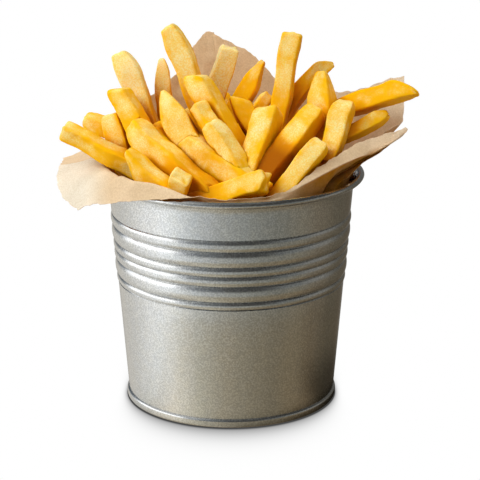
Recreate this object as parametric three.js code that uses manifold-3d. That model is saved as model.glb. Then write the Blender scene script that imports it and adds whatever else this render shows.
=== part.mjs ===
// Thick-cut fries standing in a galvanised steel pail that is lined with a sheet of paper.
// Millimetres, +Z up, origin at the centre of the pail's underside, -Y is the front.

import * as THREE from 'three';
import { mergeVertices } from 'three/addons/utils/BufferGeometryUtils.js';
import Module from 'manifold-3d';

const wasm = await Module();
wasm.setup();

// ---- driving dimensions -------------------------------------------------------------

const HEIGHT = 106.2; // floor to the top of the rolled rim
const RIM_RADIUS = 60; // outside of the rolled rim
const ROLL_RADIUS = 1.6; // round of the rolled rim
const WALL_TOP_RADIUS = 55.35; // outside of the wall under the rim
const WALL_FOOT_RADIUS = 47.3; // outside of the wall over the foot ring
const SHEET = 0.8; // steel
const FOOT_HEIGHT = 4.1;
const FOOT_RADIUS = 47.8;
const BASE_RECESS = 2.4; // the bottom disc lies this far over the floor
const GAP = 0.3; // between pieces that touch
const SEGMENTS = 48;

// Pressed ribs from the top down: height of each rib, how far its crown stands out.
const RIBS_TOP = 87.6;
const RIBS = [
  [5.2, 0.5],
  [7.2, 0.6],
  [4.1, 0.45],
  [4.6, 0.45],
  [7.4, 0.6],
  [3.3, 0.4],
];
const GROOVE_DEPTH = 0.45; // between two ribs, inside the line of the wall
const EASE = 0.8; // the plain wall bends into the first and last rib over this height
const NECK = 1.2; // the wall turns out into the rolled rim this far under it
const RING_WALL = 1.8; // the foot ring is a folded strip of this thickness

const PAPER = 0.5; // thickness of the paper with its crumples
const MOUTH = 103.5; // the paper leaves the wall at this height
const PLEAT_AZIMUTH = -27; // degrees, where the paper is tucked in
const PLEAT_DEPTH = 6;
const PLEAT_WIDTH = 5; // degrees

const BURIED = 26; // hidden length of a fry under the top of the heap
const FRY_REACH = 48; // the buried end of a fry stays this close to the axis
const CORE_SEGMENTS = 24;

// Radius and height of the packed middle of the heap, from where it leaves the wall.
const CORE_CROWN = [
  [43, 100],
  [33, 108],
  [16, 113],
  [0, 114],
];
const CORE_SHOULDER = 84; // it follows the paper up to this height

// ---- small helpers ------------------------------------------------------------------

const radians = THREE.MathUtils.degToRad;
const vector = (x, y, z) => new THREE.Vector3(x, y, z);

// Shared vertices are merged, and the triangles that this flattens on the axis are dropped.
function closed(geometry) {
  geometry.deleteAttribute('normal');
  geometry.deleteAttribute('uv');
  const merged = mergeVertices(geometry, 1e-4);
  const corners = [...merged.index.array];
  const kept = [];
  for (let i = 0; i < corners.length; i += 3) {
    const triangle = corners.slice(i, i + 3);
    if (new Set(triangle).size === 3) kept.push(...triangle);
  }
  merged.setIndex(kept);
  return merged;
}

function lathe(profile, segments = SEGMENTS) {
  const points = profile.map(([radius, height]) => new THREE.Vector2(radius, height));
  const geometry = new THREE.LatheGeometry(points, segments);
  return closed(geometry.rotateX(Math.PI / 2));
}

function indexed(points, triangles) {
  const geometry = new THREE.BufferGeometry();
  geometry.setAttribute('position', new THREE.Float32BufferAttribute(points.flatMap((p) => p.toArray()), 3));
  geometry.setIndex(triangles.flat());
  return geometry;
}

function toSolid(geometry) {
  return new wasm.Manifold(new wasm.Mesh({
    numProp: 3,
    vertProperties: new Float32Array(geometry.attributes.position.array),
    triVerts: new Uint32Array(geometry.index.array),
  }));
}

function fromSolid(solid) {
  const mesh = solid.getMesh();
  const geometry = new THREE.BufferGeometry();
  geometry.setAttribute('position', new THREE.Float32BufferAttribute(mesh.vertProperties, 3));
  geometry.setIndex([...mesh.triVerts]);
  return geometry;
}

function seededRandom(seed) {
  let state = seed;
  return () => {
    state = (state * 1664525 + 1013904223) % 4294967296;
    return state / 4294967296;
  };
}

// Outside radius of the plain cone that the wall follows.
function wallRadius(height) {
  const rise = (height - FOOT_HEIGHT) / (HEIGHT - 2 * ROLL_RADIUS - FOOT_HEIGHT);
  return WALL_FOOT_RADIUS + rise * (WALL_TOP_RADIUS - WALL_FOOT_RADIUS);
}

// ---- pail ---------------------------------------------------------------------------

// One rib: a groove line, then three points over its crown.
function ribPoints(top, height, crown) {
  const over = [
    [0.22, 0.75],
    [0.5, 1],
    [0.78, 0.75],
  ];
  const points = over.map(([down, out]) => {
    const z = top - down * height;
    return [wallRadius(z) - GROOVE_DEPTH + out * (GROOVE_DEPTH + crown), z];
  });
  const bottom = top - height;
  return [...points, [wallRadius(bottom) - GROOVE_DEPTH, bottom]];
}

function rimRoll() {
  const centre = [RIM_RADIUS - ROLL_RADIUS, HEIGHT - ROLL_RADIUS];
  const from = radians(-125);
  const sweep = radians(305);
  const steps = 8;
  return Array.from({ length: steps + 1 }, (_, i) => {
    const angle = from + (sweep * i) / steps;
    return [centre[0] + ROLL_RADIUS * Math.cos(angle), centre[1] + ROLL_RADIUS * Math.sin(angle)];
  });
}

function pailWall() {
  const foot = FOOT_HEIGHT + GAP;
  const neck = HEIGHT - 2 * ROLL_RADIUS - NECK;
  const outside = [[wallRadius(RIBS_TOP) - 0.1, RIBS_TOP]];
  let top = RIBS_TOP;
  for (const [height, crown] of RIBS) {
    outside.push(...ribPoints(top, height, crown));
    top -= height;
  }
  const inner = (z) => [wallRadius(z) - SHEET - GROOVE_DEPTH, z];
  return lathe([
    inner(neck),
    inner(foot),
    [wallRadius(foot), foot],
    [wallRadius(top - EASE), top - EASE],
    ...outside.reverse(),
    [wallRadius(RIBS_TOP + EASE), RIBS_TOP + EASE],
    [wallRadius(neck), neck],
    ...rimRoll(),
    inner(neck),
  ]);
}

function pailBase() {
  const ring = FOOT_RADIUS - RING_WALL;
  const disc = BASE_RECESS + SHEET;
  return lathe([
    [0, BASE_RECESS],
    [ring, BASE_RECESS],
    [ring, 0],
    [FOOT_RADIUS - 0.3, 0],
    [FOOT_RADIUS, 0.5],
    [FOOT_RADIUS, FOOT_HEIGHT - 0.5],
    [FOOT_RADIUS - 0.4, FOOT_HEIGHT],
    [ring + 0.3, FOOT_HEIGHT],
    [ring, disc],
    [0, disc],
  ]);
}

// ---- paper liner --------------------------------------------------------------------

// The sheet is followed column by column round the pail, anticlockwise from the front.
// Each column leaves the pail's mouth at an azimuth (degrees from +X), turns over at its
// crease and ends at the sheet's edge: azimuth, crease [x, y, z], edge [x, y, z].
const PAPER_COLUMNS = [
  [-88, [2, -53, 104.5], [2, -53.6, 106]],
  [-72, [17, -51, 105.5], [17, -51.8, 107]],
  [-60, [28, -47.6, 109], [28, -48.2, 112]],
  [-50, [38, -44, 113], [38, -44, 116]],
  [-44, [45, -43, 117], [45, -41, 121]],
  [-40, [52, -40, 119], [52, -38, 125]],
  [-37, [60, -35, 121], [60, -33, 129]],
  [-34, [69, -29, 124], [68, -27, 129.5]],
  [-31, [74, -24, 127], [77, -21, 130]],
  [-29, [64, -21, 119], [69, -18, 124]],
  [-25, [54, -16, 113], [62, -13, 118.5]],
  [-19, [59, -13, 112], [66, -9, 118]],
  [-12, [64, -5, 114], [73, -4, 124]],
  [-4, [68, 2, 116], [77, 4, 128]],
  [4, [70, 9, 120], [80, 10, 135]],
  [11, [69, 15, 125], [80, 17, 145]],
  [21, [63, 23, 125], [73, 25, 141]],
  [33, [53, 33, 123], [60, 34, 137]],
  [46, [42, 42, 121], [44, 46, 132]],
  [59, [30, 50, 121], [31, 53, 134]],
  [72, [18, 54, 125], [19, 58, 143]],
  [86, [4, 57, 129], [3, 60, 150]],
  [99, [-9, 57, 130], [-11, 62, 157]],
  [110, [-20, 54, 127], [-20, 59, 150]],
  [124, [-32, 48, 121], [-31, 51, 137]],
  [138, [-43, 40, 116], [-43, 42, 126]],
  [150, [-51, 31, 113], [-54, 32, 118]],
  [160, [-56, 20.5, 110.5], [-64, 22, 111.5]],
  [168, [-58.3, 12.5, 109.3], [-72, 17, 109]],
  [175, [-59.3, 5, 108.8], [-77.5, 13, 107.5]],
  [181, [-59.5, -1, 108.7], [-79, 8, 102]],
  [188, [-59, -8.3, 108.6], [-78.8, 1, 98.8]],
  [195, [-57.5, -15.5, 108.5], [-76.7, -8, 96]],
  [203, [-54.8, -23.3, 108.4], [-73, -17, 94.2]],
  [211, [-51, -30.7, 108.3], [-67.5, -25, 93.5]],
  [219, [-46.2, -37.5, 108.3], [-58, -32, 97.5]],
  [228, [-39.8, -44.2, 108.4], [-47.5, -41.5, 102]],
  [237, [-32.4, -49.9, 108.4], [-37, -50.5, 105]],
  [245, [-25.1, -53.9, 108.4], [-28, -55.8, 106]],
  [252, [-18, -54.8, 108], [-19, -57, 108.5]],
  [258, [-11, -53.7, 106.5], [-11, -52.6, 110]],
  [264, [-6, -53, 104.5], [-6, -53.8, 106]],
];
const COLUMN_STEPS = 2; // between two columns of the list
const PAPER_FLOOR = BASE_RECESS + SHEET + GAP + PAPER / 2;

function paperRadius(height) {
  return wallRadius(height) - SHEET - GROOVE_DEPTH - GAP - PAPER / 2;
}

function catmull(before, start, end, after, t) {
  const curve = new THREE.CatmullRomCurve3([before, start, end, after], false, 'catmullrom', 0.5);
  return curve.getPoint((1 + t) / 3);
}

// A value that runs smoothly through a closed list of vectors.
function roundList(list, place) {
  const count = list.length;
  const index = Math.floor(place);
  const at = (step) => list[(index + step + count) % count];
  return catmull(at(-1), at(0), at(1), at(2), place - index);
}

function mouthPoint(azimuth, height, depth) {
  const pleat = depth * Math.exp(-(((azimuth - PLEAT_AZIMUTH) / PLEAT_WIDTH) ** 2));
  const radius = paperRadius(height) - pleat;
  return vector(radius * Math.cos(radians(azimuth)), radius * Math.sin(radians(azimuth)), height);
}

// Points of the sheet's middle surface up one column, from the pail's floor to the edge.
function paperColumn(azimuth, crease, edge) {
  const mouth = mouthPoint(azimuth, Math.min(MOUTH, crease.z - 2), PLEAT_DEPTH);
  const wall = mouthPoint(azimuth, 90, PLEAT_DEPTH / 3);
  const past = edge.clone().multiplyScalar(2).sub(crease);
  return [
    mouthPoint(azimuth, PAPER_FLOOR, 0),
    mouthPoint(azimuth, 48, 0),
    wall,
    mouth,
    catmull(wall, mouth, crease, edge, 0.5),
    crease,
    catmull(mouth, crease, edge, past, 0.5),
    edge,
  ];
}

function paperColumns() {
  const azimuths = PAPER_COLUMNS.map(([azimuth]) => azimuth);
  const creases = PAPER_COLUMNS.map(([, crease]) => vector(...crease));
  const edges = PAPER_COLUMNS.map(([, , edge]) => vector(...edge));
  const count = PAPER_COLUMNS.length;
  return Array.from({ length: count * COLUMN_STEPS }, (_, i) => {
    const place = i / COLUMN_STEPS;
    const index = Math.floor(place);
    const next = azimuths[(index + 1) % count] + (index + 1 === count ? 360 : 0);
    const azimuth = THREE.MathUtils.lerp(azimuths[index], next, place - index);
    return paperColumn(azimuth, roundList(creases, place), roundList(edges, place));
  });
}

// The sheet as a closed solid of the given thickness: the middle surface is pushed out
// along its normals to both sides, and the two faces are joined round the edge.
function paperSheet(thickness) {
  const columns = paperColumns();
  const rows = columns[0].length;
  const middle = [vector(0, 0, PAPER_FLOOR), ...columns.flat()];
  const at = (column, row) => 1 + (column % columns.length) * rows + row;
  const triangles = [];
  columns.forEach((_, c) => {
    triangles.push([0, at(c, 0), at(c + 1, 0)]);
    for (let r = 0; r < rows - 1; r += 1) {
      triangles.push([at(c, r), at(c, r + 1), at(c + 1, r + 1)]);
      triangles.push([at(c, r), at(c + 1, r + 1), at(c + 1, r)]);
    }
  });
  const surface = indexed(middle, triangles);
  surface.computeVertexNormals();
  const normals = surface.attributes.normal;
  const pushed = (side) => middle.map((point, i) => {
    const normal = vector(normals.getX(i), normals.getY(i), normals.getZ(i));
    return point.clone().addScaledVector(normal, (side * thickness) / 2);
  });
  const other = middle.length;
  const outer = triangles.map(([a, b, c]) => [a + other, c + other, b + other]);
  const rim = columns.flatMap((_, c) => {
    const [a, b] = [at(c, rows - 1), at(c + 1, rows - 1)];
    return [
      [b, a, a + other],
      [b, a + other, b + other],
    ];
  });
  return indexed([...pushed(1), ...pushed(-1)], [...triangles, ...outer, ...rim]);
}

// ---- fries --------------------------------------------------------------------------

// Fries that stand clear of the heap: tip, where it sinks into the heap, width, size of
// the tip against the width, turn about its length in degrees, bow of its middle.
const SHOWING_FRIES = [
  [[-74, -8, 126], [-43, -16, 109], 9.0, 0.9, -20, [0, 0, 0]],
  [[-66, 12, 126], [-54, 10, 122], 10.0, 0.7, 10, [0, 0, 0]],
  [[-52, 4, 131], [-46, 0, 115], 9.9, 0.7, 40, [0, 0, 0]],
  [[-51, -3, 142], [-41, -8, 129], 10.2, 0.85, 10, [0, 0, 0]],
  [[-50, 14, 156], [-37, 7, 128], 10.3, 0.9, 12, [-1, 0, -0.5]],
  [[-32, 24, 152], [-30, 20, 132], 8.0, 0.3, 20, [-1, 0, 0]],
  [[-27, 16, 168], [-17, 11, 130], 10.3, 0.9, 12, [1.5, 0, 0.5]],
  [[0, 32, 156], [-7, 28, 135], 8.9, 0.85, 15, [-0.5, 0, 0]],
  [[-17, -2, 150], [4, -10, 123], 10.6, 0.85, 15, [0, 0, 0]],
  [[-30, -6, 142], [-15, -14, 124], 10.2, 0.4, 35, [-2, 0, -2]],
  [[-14, -13, 138], [-9, -18, 129], 7.5, 0.85, 0, [0, 0, 0]],
  [[-9, -22, 133], [4, -32, 112], 9.6, 0.8, 50, [-0.5, 0, -0.5]],
  [[-43, -15, 130], [-8, -32, 105], 11.0, 0.7, 15, [-2, 0, -2.5]],
  [[-44, -31, 121], [-29, -37, 109], 9.5, 0.5, 15, [0, 0, 0]],
  [[-22, -48, 113.5], [-20, -32, 110], 9.0, 0.92, 10, [0, 0, 0]],
  [[-18, -16, 120], [-5, -23, 111], 10.6, 0.8, 20, [0, 0, 0]],
  [[-33, -2, 126], [-24, -9, 120], 8.0, 0.8, 0, [0, 0, 0]],
  [[13, -44, 113], [-8, -42, 104], 9.6, 0.85, 35, [0, 0, 0]],
  [[18, -12, 136], [10, -26, 114], 10.6, 0.85, 30, [0, 0, 0]],
  [[4, 3, 138], [10, -2, 126], 9.8, 0.4, 0, [0, 0, 0]],
  [[14, 24, 151], [6, 20, 135], 8.2, 0.5, 20, [0, 0, 0]],
  [[16, 16, 138], [12, 12, 130], 6.4, 0.7, 0, [0, 0, 0]],
  [[27, 10, 166], [22, 2, 126], 9.8, 0.95, 10, [0, 0, 0]],
  [[45, 22, 149], [26, 13, 123], 7.9, 0.4, 20, [-4, 0, 3]],
  [[42, 8, 149], [40, 1, 132], 10.9, 0.6, 25, [0, 0, 0]],
  [[38, -11, 136], [19, -27, 112], 11.0, 0.85, 20, [0, 0, 0]],
  [[52, -11, 139], [40, -27, 115], 11.0, 0.85, 15, [0.5, 0, 0]],
  [[80.3, -14, 142.3], [55, 3, 131], 8.4, 0.4, 35, [0, 0, 2.5]],
  [[69, -9, 132], [52, -12, 123], 7.2, 0.5, 35, [0, 0, 0]],
  [[37, -33, 127], [21, -40, 109], 9.4, 0.85, 25, [0, 0, 0]],
];

// The rest of the heap, behind and between them, by a golden-angle rule.
const FILLING_FRIES = 36;
const GOLDEN_ANGLE = 137.508;
const FILLING_NEAR = 6; // distance of the first one from the axis
const FILLING_FAR = 47; // and of the last one
const FILLING_HEIGHT = 115; // their tips' height over the middle
const FILLING_SLOPE = 0.35; // the heap rises from its front to its back
const FILLING_SHOWN = 16; // height of a fry's visible part

function fillingFries() {
  const random = seededRandom(7);
  const fries = [];
  for (let i = 0; i < FILLING_FRIES; i += 1) {
    const azimuth = radians(i * GOLDEN_ANGLE + 20 * random());
    const spread = Math.sqrt((i + 0.5) / FILLING_FRIES);
    const reach = THREE.MathUtils.lerp(FILLING_NEAR, FILLING_FAR, spread);
    const [x, y] = [reach * Math.cos(azimuth), reach * Math.sin(azimuth)];
    const tip = vector(x, y, FILLING_HEIGHT + FILLING_SLOPE * y + 5 * random() - 2.5);
    const lean = 0.6 + 0.25 * random();
    const foot = vector(x * lean, y * lean, tip.z - FILLING_SHOWN);
    const width = 8.6 + 1.8 * random();
    const bow = [2 * random() - 1, 2 * random() - 1, 0];
    fries.push([tip.toArray(), foot.toArray(), width, 0.6 + 0.35 * random(), 90 * random(), bow]);
  }
  return fries;
}

// The buried end: straight on from the visible part, but short of the paper.
function buriedEnd(tip, foot) {
  const along = foot.clone().sub(tip).normalize();
  let length = BURIED;
  let end = foot.clone().addScaledVector(along, length);
  while (length > 2 && Math.hypot(end.x, end.y) > FRY_REACH) {
    length -= 2;
    end = foot.clone().addScaledVector(along, length);
  }
  return end;
}

// A fry is a square stick with cut edges, an eight-sided section carried along its length.
function fry([tipAt, footAt, width, blunt, turn, bow]) {
  const tip = vector(...tipAt);
  const end = buriedEnd(tip, vector(...footAt));
  const control = tip.clone().add(end).multiplyScalar(0.5).addScaledVector(vector(...bow), 2);
  const path = new THREE.QuadraticBezierCurve3(end, control, tip);
  const point = (1.2 * (1 - blunt) * width + 1.2) / path.getLength();
  const stations = [
    [0, 0.9],
    [0.45, 1],
    [1 - point, 1],
    [1, blunt],
  ];
  const half = width / 2;
  const chamfer = 0.55 * half;
  const section = [
    [half, chamfer], [chamfer, half], [-chamfer, half], [-half, chamfer],
    [-half, -chamfer], [-chamfer, -half], [chamfer, -half], [half, -chamfer],
  ];
  const points = stations.flatMap(([place, scale]) => {
    const axis = path.getTangent(place);
    const side = vector(0, 1, 0).cross(axis).normalize();
    side.applyAxisAngle(axis, radians(turn));
    const front = axis.clone().cross(side);
    return section.map(([u, v]) => path.getPoint(place)
      .addScaledVector(side, u * scale).addScaledVector(front, v * scale));
  });
  const around = section.length;
  const triangles = [];
  for (let s = 0; s < stations.length - 1; s += 1) {
    for (let i = 0; i < around; i += 1) {
      const [a, b] = [s * around + i, s * around + ((i + 1) % around)];
      triangles.push([a, b, b + around], [a, b + around, a + around]);
    }
  }
  const last = (stations.length - 1) * around;
  for (let i = 1; i < around - 1; i += 1) {
    triangles.push([0, i + 1, i], [last, last + i, last + i + 1]);
  }
  return indexed(points, triangles);
}

// The packed middle of the heap, inside the paper.
function heapCore() {
  const clear = GAP + PAPER / 2;
  const bottom = PAPER_FLOOR + clear;
  return lathe([
    [0, bottom],
    [paperRadius(bottom) - clear - 1, bottom],
    [paperRadius(CORE_SHOULDER) - clear - PLEAT_DEPTH / 2, CORE_SHOULDER],
    ...CORE_CROWN,
  ], CORE_SEGMENTS);
}

// One closed body: the fused heap without the hollows and scraps that fusing leaves,
// pared back where it would touch the paper.
function friesHeap() {
  const sticks = [...SHOWING_FRIES, ...fillingFries()].map((row) => toSolid(fry(row)));
  const fused = wasm.Manifold.union([toSolid(heapCore()), ...sticks]);
  const outline = largest(fused);
  const pared = outline.subtract(toSolid(paperSheet(PAPER + 2 * GAP)));
  return fromSolid(largest(pared).simplify(0.05));
}

function largest(solid) {
  return solid.decompose().reduce((best, piece) => (piece.volume() > best.volume() ? piece : best));
}

// ---- the object ---------------------------------------------------------------------

const materials = {
  steel: new THREE.MeshStandardMaterial({ color: 0x9b9a94, roughness: 0.45, metalness: 0.8 }),
  paper: new THREE.MeshStandardMaterial({ color: 0xd9bd9a, roughness: 0.9, side: THREE.DoubleSide }),
  fries: new THREE.MeshStandardMaterial({ color: 0xf2c14b, roughness: 0.6 }),
};

function part(name, geometry, material) {
  const mesh = new THREE.Mesh(geometry, material);
  mesh.name = name;
  return mesh;
}

const pail = new THREE.Group();
pail.add(part('pail_wall', pailWall(), materials.steel));
pail.add(part('pail_base', pailBase(), materials.steel));
pail.add(part('paper_liner', paperSheet(PAPER), materials.paper));
pail.add(part('fries', friesHeap(), materials.fries));

export default pail;
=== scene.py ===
"""Thick-cut fries in a ribbed, galvanised pail that is lined with a sheet of kraft paper.

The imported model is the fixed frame. Every operator below makes one piece, or one group of
like pieces, around it. Tables are in millimetres and meshes are in metres, +Z up, with the
origin at the centre of the pail's underside and -Y at the front.
"""

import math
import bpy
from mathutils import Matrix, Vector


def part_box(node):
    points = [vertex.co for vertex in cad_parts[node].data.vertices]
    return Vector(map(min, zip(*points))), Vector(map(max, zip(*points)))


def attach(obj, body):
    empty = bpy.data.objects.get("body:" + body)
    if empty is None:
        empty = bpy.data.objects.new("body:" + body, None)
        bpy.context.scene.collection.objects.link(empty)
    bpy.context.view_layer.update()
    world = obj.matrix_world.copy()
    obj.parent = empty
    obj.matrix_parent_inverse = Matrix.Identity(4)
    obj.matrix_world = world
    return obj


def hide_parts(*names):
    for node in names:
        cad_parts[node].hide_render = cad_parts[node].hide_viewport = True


bl_info = {
    "name": "Fries in a Steel Pail",
    "version": (1, 0, 0),
    "blender": (4, 5, 0),
    "location": "3D View > Sidebar > Fries Pail",
    "description": "Builds a ribbed steel pail, its paper liner and the heap of fries in it",
    "category": "Add Mesh",
}

from contextlib import contextmanager

import bpy
import numpy as np
from mathutils import Vector
from mathutils.bvhtree import BVHTree

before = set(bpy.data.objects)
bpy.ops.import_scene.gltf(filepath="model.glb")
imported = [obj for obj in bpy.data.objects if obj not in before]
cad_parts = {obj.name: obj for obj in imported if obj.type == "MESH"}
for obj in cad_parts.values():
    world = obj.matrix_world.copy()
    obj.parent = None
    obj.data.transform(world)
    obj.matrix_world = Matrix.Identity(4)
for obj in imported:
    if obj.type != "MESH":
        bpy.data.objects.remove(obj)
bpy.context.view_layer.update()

MM = 0.001
TURN = 2 * math.pi
SAME_PLACE = 1e-6  # points closer than this, in metres, are one
STEEL_ANGLE, PAPER_ANGLE, FOOD_ANGLE = 35, 50, 60  # edges sharper than these stay sharp

# ---- sizes of the pail, in millimetres --------------------------------------------------

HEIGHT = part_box("pail_wall")[1].z / MM
RIM_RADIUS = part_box("pail_wall")[1].x / MM
FOOT_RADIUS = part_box("pail_base")[1].x / MM
FOOT_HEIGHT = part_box("pail_base")[1].z / MM
ROLL_RADIUS = 1.6
ROLL_POWER = 1.6  # of its superellipse: under 2 it slopes more evenly than a circle
ROLL_DEGREES = range(168, -156, -12)  # from the wall over the top and in under the rim
WALL_TOP_RADIUS = 55.35
WALL_FOOT_RADIUS = 47.3
CONE_TOP = HEIGHT - 2 * ROLL_RADIUS
RIBS_TOP = 87.6
RIBS = [(5.2, 0.5), (7.2, 0.6), (4.1, 0.45), (4.6, 0.45), (7.4, 0.6), (3.3, 0.4)]  # height, crown
RIB_STEPS = 12
RIB_POWER = 2.4  # over 2 the crown is flatter and drops more sharply into the grooves
GROOVE_DEPTH = 0.45
BY_RIBS = 0.5  # the plain wall ends this far from the ribs
BASE_RECESS = 2.4
BASE_SHEET = 0.6  # thickness of the disc
RING_WALL = 1.8  # thickness of the foot ring
BEAD_RADIUS = FOOT_RADIUS + 0.4  # of the rounded bead that runs round the foot
BEAD_OUT = 1.0  # how far the bead's middle stands out over its edges
BEAD_POWER = 4
BEAD_STEPS = 18
STEEL_IN_FRAME = 0.8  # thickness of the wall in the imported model
GAP = 0.3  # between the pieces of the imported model

# ---- the sheet of paper, in millimetres and degrees -------------------------------------

PAPER_IN_FRAME = 0.5
MOUTH = 103.5  # the paper leaves the wall at this height
PLEAT_AZIMUTH = -36.5
PLEAT_DEPTH = 12  # at the mouth
PLEAT_WIDTH = 3.2
PLEAT_FROM = 76  # height where the pleat starts
PLEAT_MIDDLE = 90  # where it is a third as deep as at the mouth
TORN = 0.22  # roughness of the edge
FOLD_AZIMUTH = -54  # of the left end of the fold at the right
FOLD_HEIGHT = 110.4  # there
FOLD_RISE = 0.32  # for each degree to the right
PAPER_UNDER = (1.0, -0.5)  # how far faces look to the light where they start and end to darken
FREE_FROM, FREE_TO = 96, 112  # heights between which the sheet comes free of the wall
CRUMPLE_WAVES = 22  # size of the soft waves
CRUMPLE_CREASES = 16  # size of the faces between the creases

# Columns of the sheet round the pail, anticlockwise from the front: azimuth at the mouth,
# the crease where it turns over, its edge, and how sharp the crease is.
PAPER_COLUMNS = [
    (-88, (2, -53, 104.5), (2, -53.6, 106), 0),
    (-72, (15, -51, 105), (15, -51.5, 106.5), 0),
    (-60, (25.1, -47, 107.5), (25.1, -46.5, 108.6), 0.4),
    (-52, (31.6, -44, 110.4), (31.7, -42, 112.5), 0.8),
    (-46, (38.1, -41, 113.2), (37.4, -38, 116.1), 1),
    (-41, (45.4, -37, 116.1), (44.4, -33, 119.3), 1),
    (-39.6, (51.4, -33, 117.8), (49.9, -28, 121.5), 1),
    (-38.6, (56.8, -29, 118.8), (55.4, -23, 123.6), 1),
    (-37.8, (61.9, -25, 119.1), (60.9, -19, 124.4), 1),
    (-37.2, (68.9, -21, 122.2), (67.7, -16, 126.2), 1),
    (-36.6, (74.6, -17, 125.1), (73.1, -14, 127.2), 1),
    (-36, (76.6, -14.3, 127.5), (76.8, -14, 127.9), 1),
    (-35.2, (64.5, -15.5, 117.3), (65.7, -15.5, 118), 1),
    (-34.4, (58, -19.5, 114.6), (59.3, -19.5, 115.4), 1),
    (-33.6, (53, -23, 111.6), (54.3, -23.3, 112.1), 1),
    (-32.4, (49, -26, 107.5), (50.3, -27, 108.5), 1),
    (-30, (50, -23, 107), (51, -22, 108.5), 0.5),
    (-26, (53, -18, 109), (56, -15.5, 111.5), 0),
    (-20, (58, -12, 112), (64, -10, 118), 0),
    (-12, (63, -5, 114), (68.8, -6, 124.4), 0),
    (-4, (68, 1, 117), (77.2, 4, 126.6), 0),
    (4, (70, 9, 121), (79.1, 14, 134.2), 0),
    (10, (69, 15, 125), (79.3, 22, 143.5), 0),
    (18, (65, 21, 125), (72.9, 26, 141.8), 0),
    (27, (58, 28, 124), (64.1, 30, 137.3), 0),
    (35, (51, 33, 122), (56, 34, 134.3), 0),
    (46, (42, 42, 121), (43, 45.5, 131), 0),
    (59, (30, 50, 121), (27.9, 52, 128.9), 0),
    (70, (20, 53.5, 124), (18.5, 56, 139.1), 0),
    (79, (11, 56, 127), (9.5, 59, 148), 0),
    (87, (3, 57, 129), (0.5, 60.5, 152.2), 0),
    (94, (-4, 57.3, 130), (-7.2, 61.5, 156), 0),
    (96, (-6, 57.3, 130), (-8.2, 62, 156.9), 0),
    (97.6, (-7.6, 57.2, 130), (-9.9, 62, 157.7), 0),
    (99, (-9, 57, 130), (-11.9, 62, 157.4), 0),
    (102, (-12, 56.5, 129.5), (-14.6, 61, 154.4), 0),
    (106, (-15.8, 55.5, 128.5), (-18, 60, 150.5), 0),
    (111, (-20.4, 53.5, 127), (-21.7, 57, 145.7), 0),
    (118, (-26.8, 50.5, 124), (-25.5, 54, 139), 0),
    (126, (-34, 46, 120), (-33, 50, 133), 0),
    (138, (-43, 40, 116), (-43, 42, 126), 0),
    (150, (-51, 31, 112), (-55, 33, 114), 0),
    (160, (-56, 21, 109), (-65.1, 30, 105), 0.3),
    (166, (-57.6, 15, 108.6), (-69.4, 34, 105.6), 0.3),
    (171, (-58.8, 9.3, 108.6), (-77.9, 30, 103.3), 0.3),
    (173.4, (-59.2, 6.9, 108.7), (-77.8, 11, 104.4), 0.3),
    (174.4, (-59.3, 5.9, 108.8), (-77.6, 9, 104.9), 0.3),
    (180, (-59.6, 0, 109), (-78.4, 2, 102.4), 0),
    (187, (-59.2, -7.3, 109.2), (-77.8, -5, 100), 0),
    (194, (-57.8, -14.5, 109.6), (-75.8, -11, 98), 0),
    (201, (-55.6, -21.4, 110), (-73.6, -16, 96), 0),
    (207, (-52.9, -27, 110.4), (-68.8, -22, 94.2), 0),
    (210, (-51.4, -29.6, 110.2), (-67.3, -25, 93.6), 0),
    (213, (-49.8, -32.3, 109.4), (-63.9, -29, 96.4), 0),
    (216.5, (-48.2, -35.2, 111.4), (-59.7, -33, 98.6), 0),
    (224, (-43.3, -40, 111), (-52.6, -39, 100), 0),
    (229, (-39.5, -43.3, 111), (-48.3, -42.2, 102), 0),
    (236, (-34, -46.5, 110.8), (-41.5, -46.3, 103.6), 0.3),
    (243, (-28, -49.8, 109.8), (-32.3, -51.6, 105.4), 0.3),
    (250, (-19.6, -53.8, 107.6), (-22.6, -55.6, 106.6), 0.3),
    (257, (-12, -53.5, 105.5), (-12.5, -54.5, 107.5), 0),
    (264, (-6, -53, 104.5), (-6, -53.8, 106), 0),
]
STEPS_PER_COLUMN = 12
FLOOR_SHARES = (0.0, 0.35, 0.7, 0.97)  # of the way out from the middle of the pail's floor
LOW_ROWS = 8  # up the wall to the pleat
LOW_ROW_HEIGHT = 10
PLEAT_ROWS = 5  # from there to the pleat's middle
MOUTH_ROWS = 6  # from there to the mouth
WALL_ROWS = len(FLOOR_SHARES) + LOW_ROWS + PLEAT_ROWS + MOUTH_ROWS
CREASE_ROWS = 14  # from the mouth to the crease
FLAP_ROWS = 22  # from the crease to the edge

# ---- the fries, in millimetres and degrees ----------------------------------------------

BURIED = 26  # hidden length of a fry under the top of the heap
ROUND_EDGE = 1.3  # rounding of the cut ends
STICK_BEVEL = 0.22  # of its long edges, against half its width
STICK_BEVEL_STEPS = 3
STICK_SIDE_CUTS = 3
CROWDED_RINGS = 1.4  # over 1, the rings stand closer together at the tip
SKEW = 0.06  # most that a section leans
TWIST = 8  # most that a fry twists over its length, in degrees
WAVE = 26  # length of its waves
SWAY = 0.25  # how far they carry it sideways
SWAY_FROM = 8  # from the tip
SWELL = 0.045  # how much wider and narrower they make it
THINNER = 0.1  # how much it tapers towards its buried end
THINNER_BELOW = 0.45  # of its length
CUT_REACH = 12  # length over which the cut's slant fades
EDGE_FROM_TO = (0.15, 0.85)  # where a face turns into an edge, from its middle line out
SKIN_STRETCH = 0.8  # of the skin's pattern along the fry
SKIN_SHIFT = (31, 17, 43)  # from one fry's pattern to the next one's
PALE_SIDE = (-0.55, -0.25, 0.8)  # towards the light, where skin and paper are palest
DEPTH_RAYS = 14
DEPTH_START = 0.4  # the rays start this far off the skin
DEPTH_REACH = 26  # fries farther off than this don't count as closing a point in
DEPTH_TO_LIGHT = 0.7  # how far the rays lean towards the pale side
DEPTH_TURN = 2.4  # radians from the rays of one point to those of the next
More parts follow.
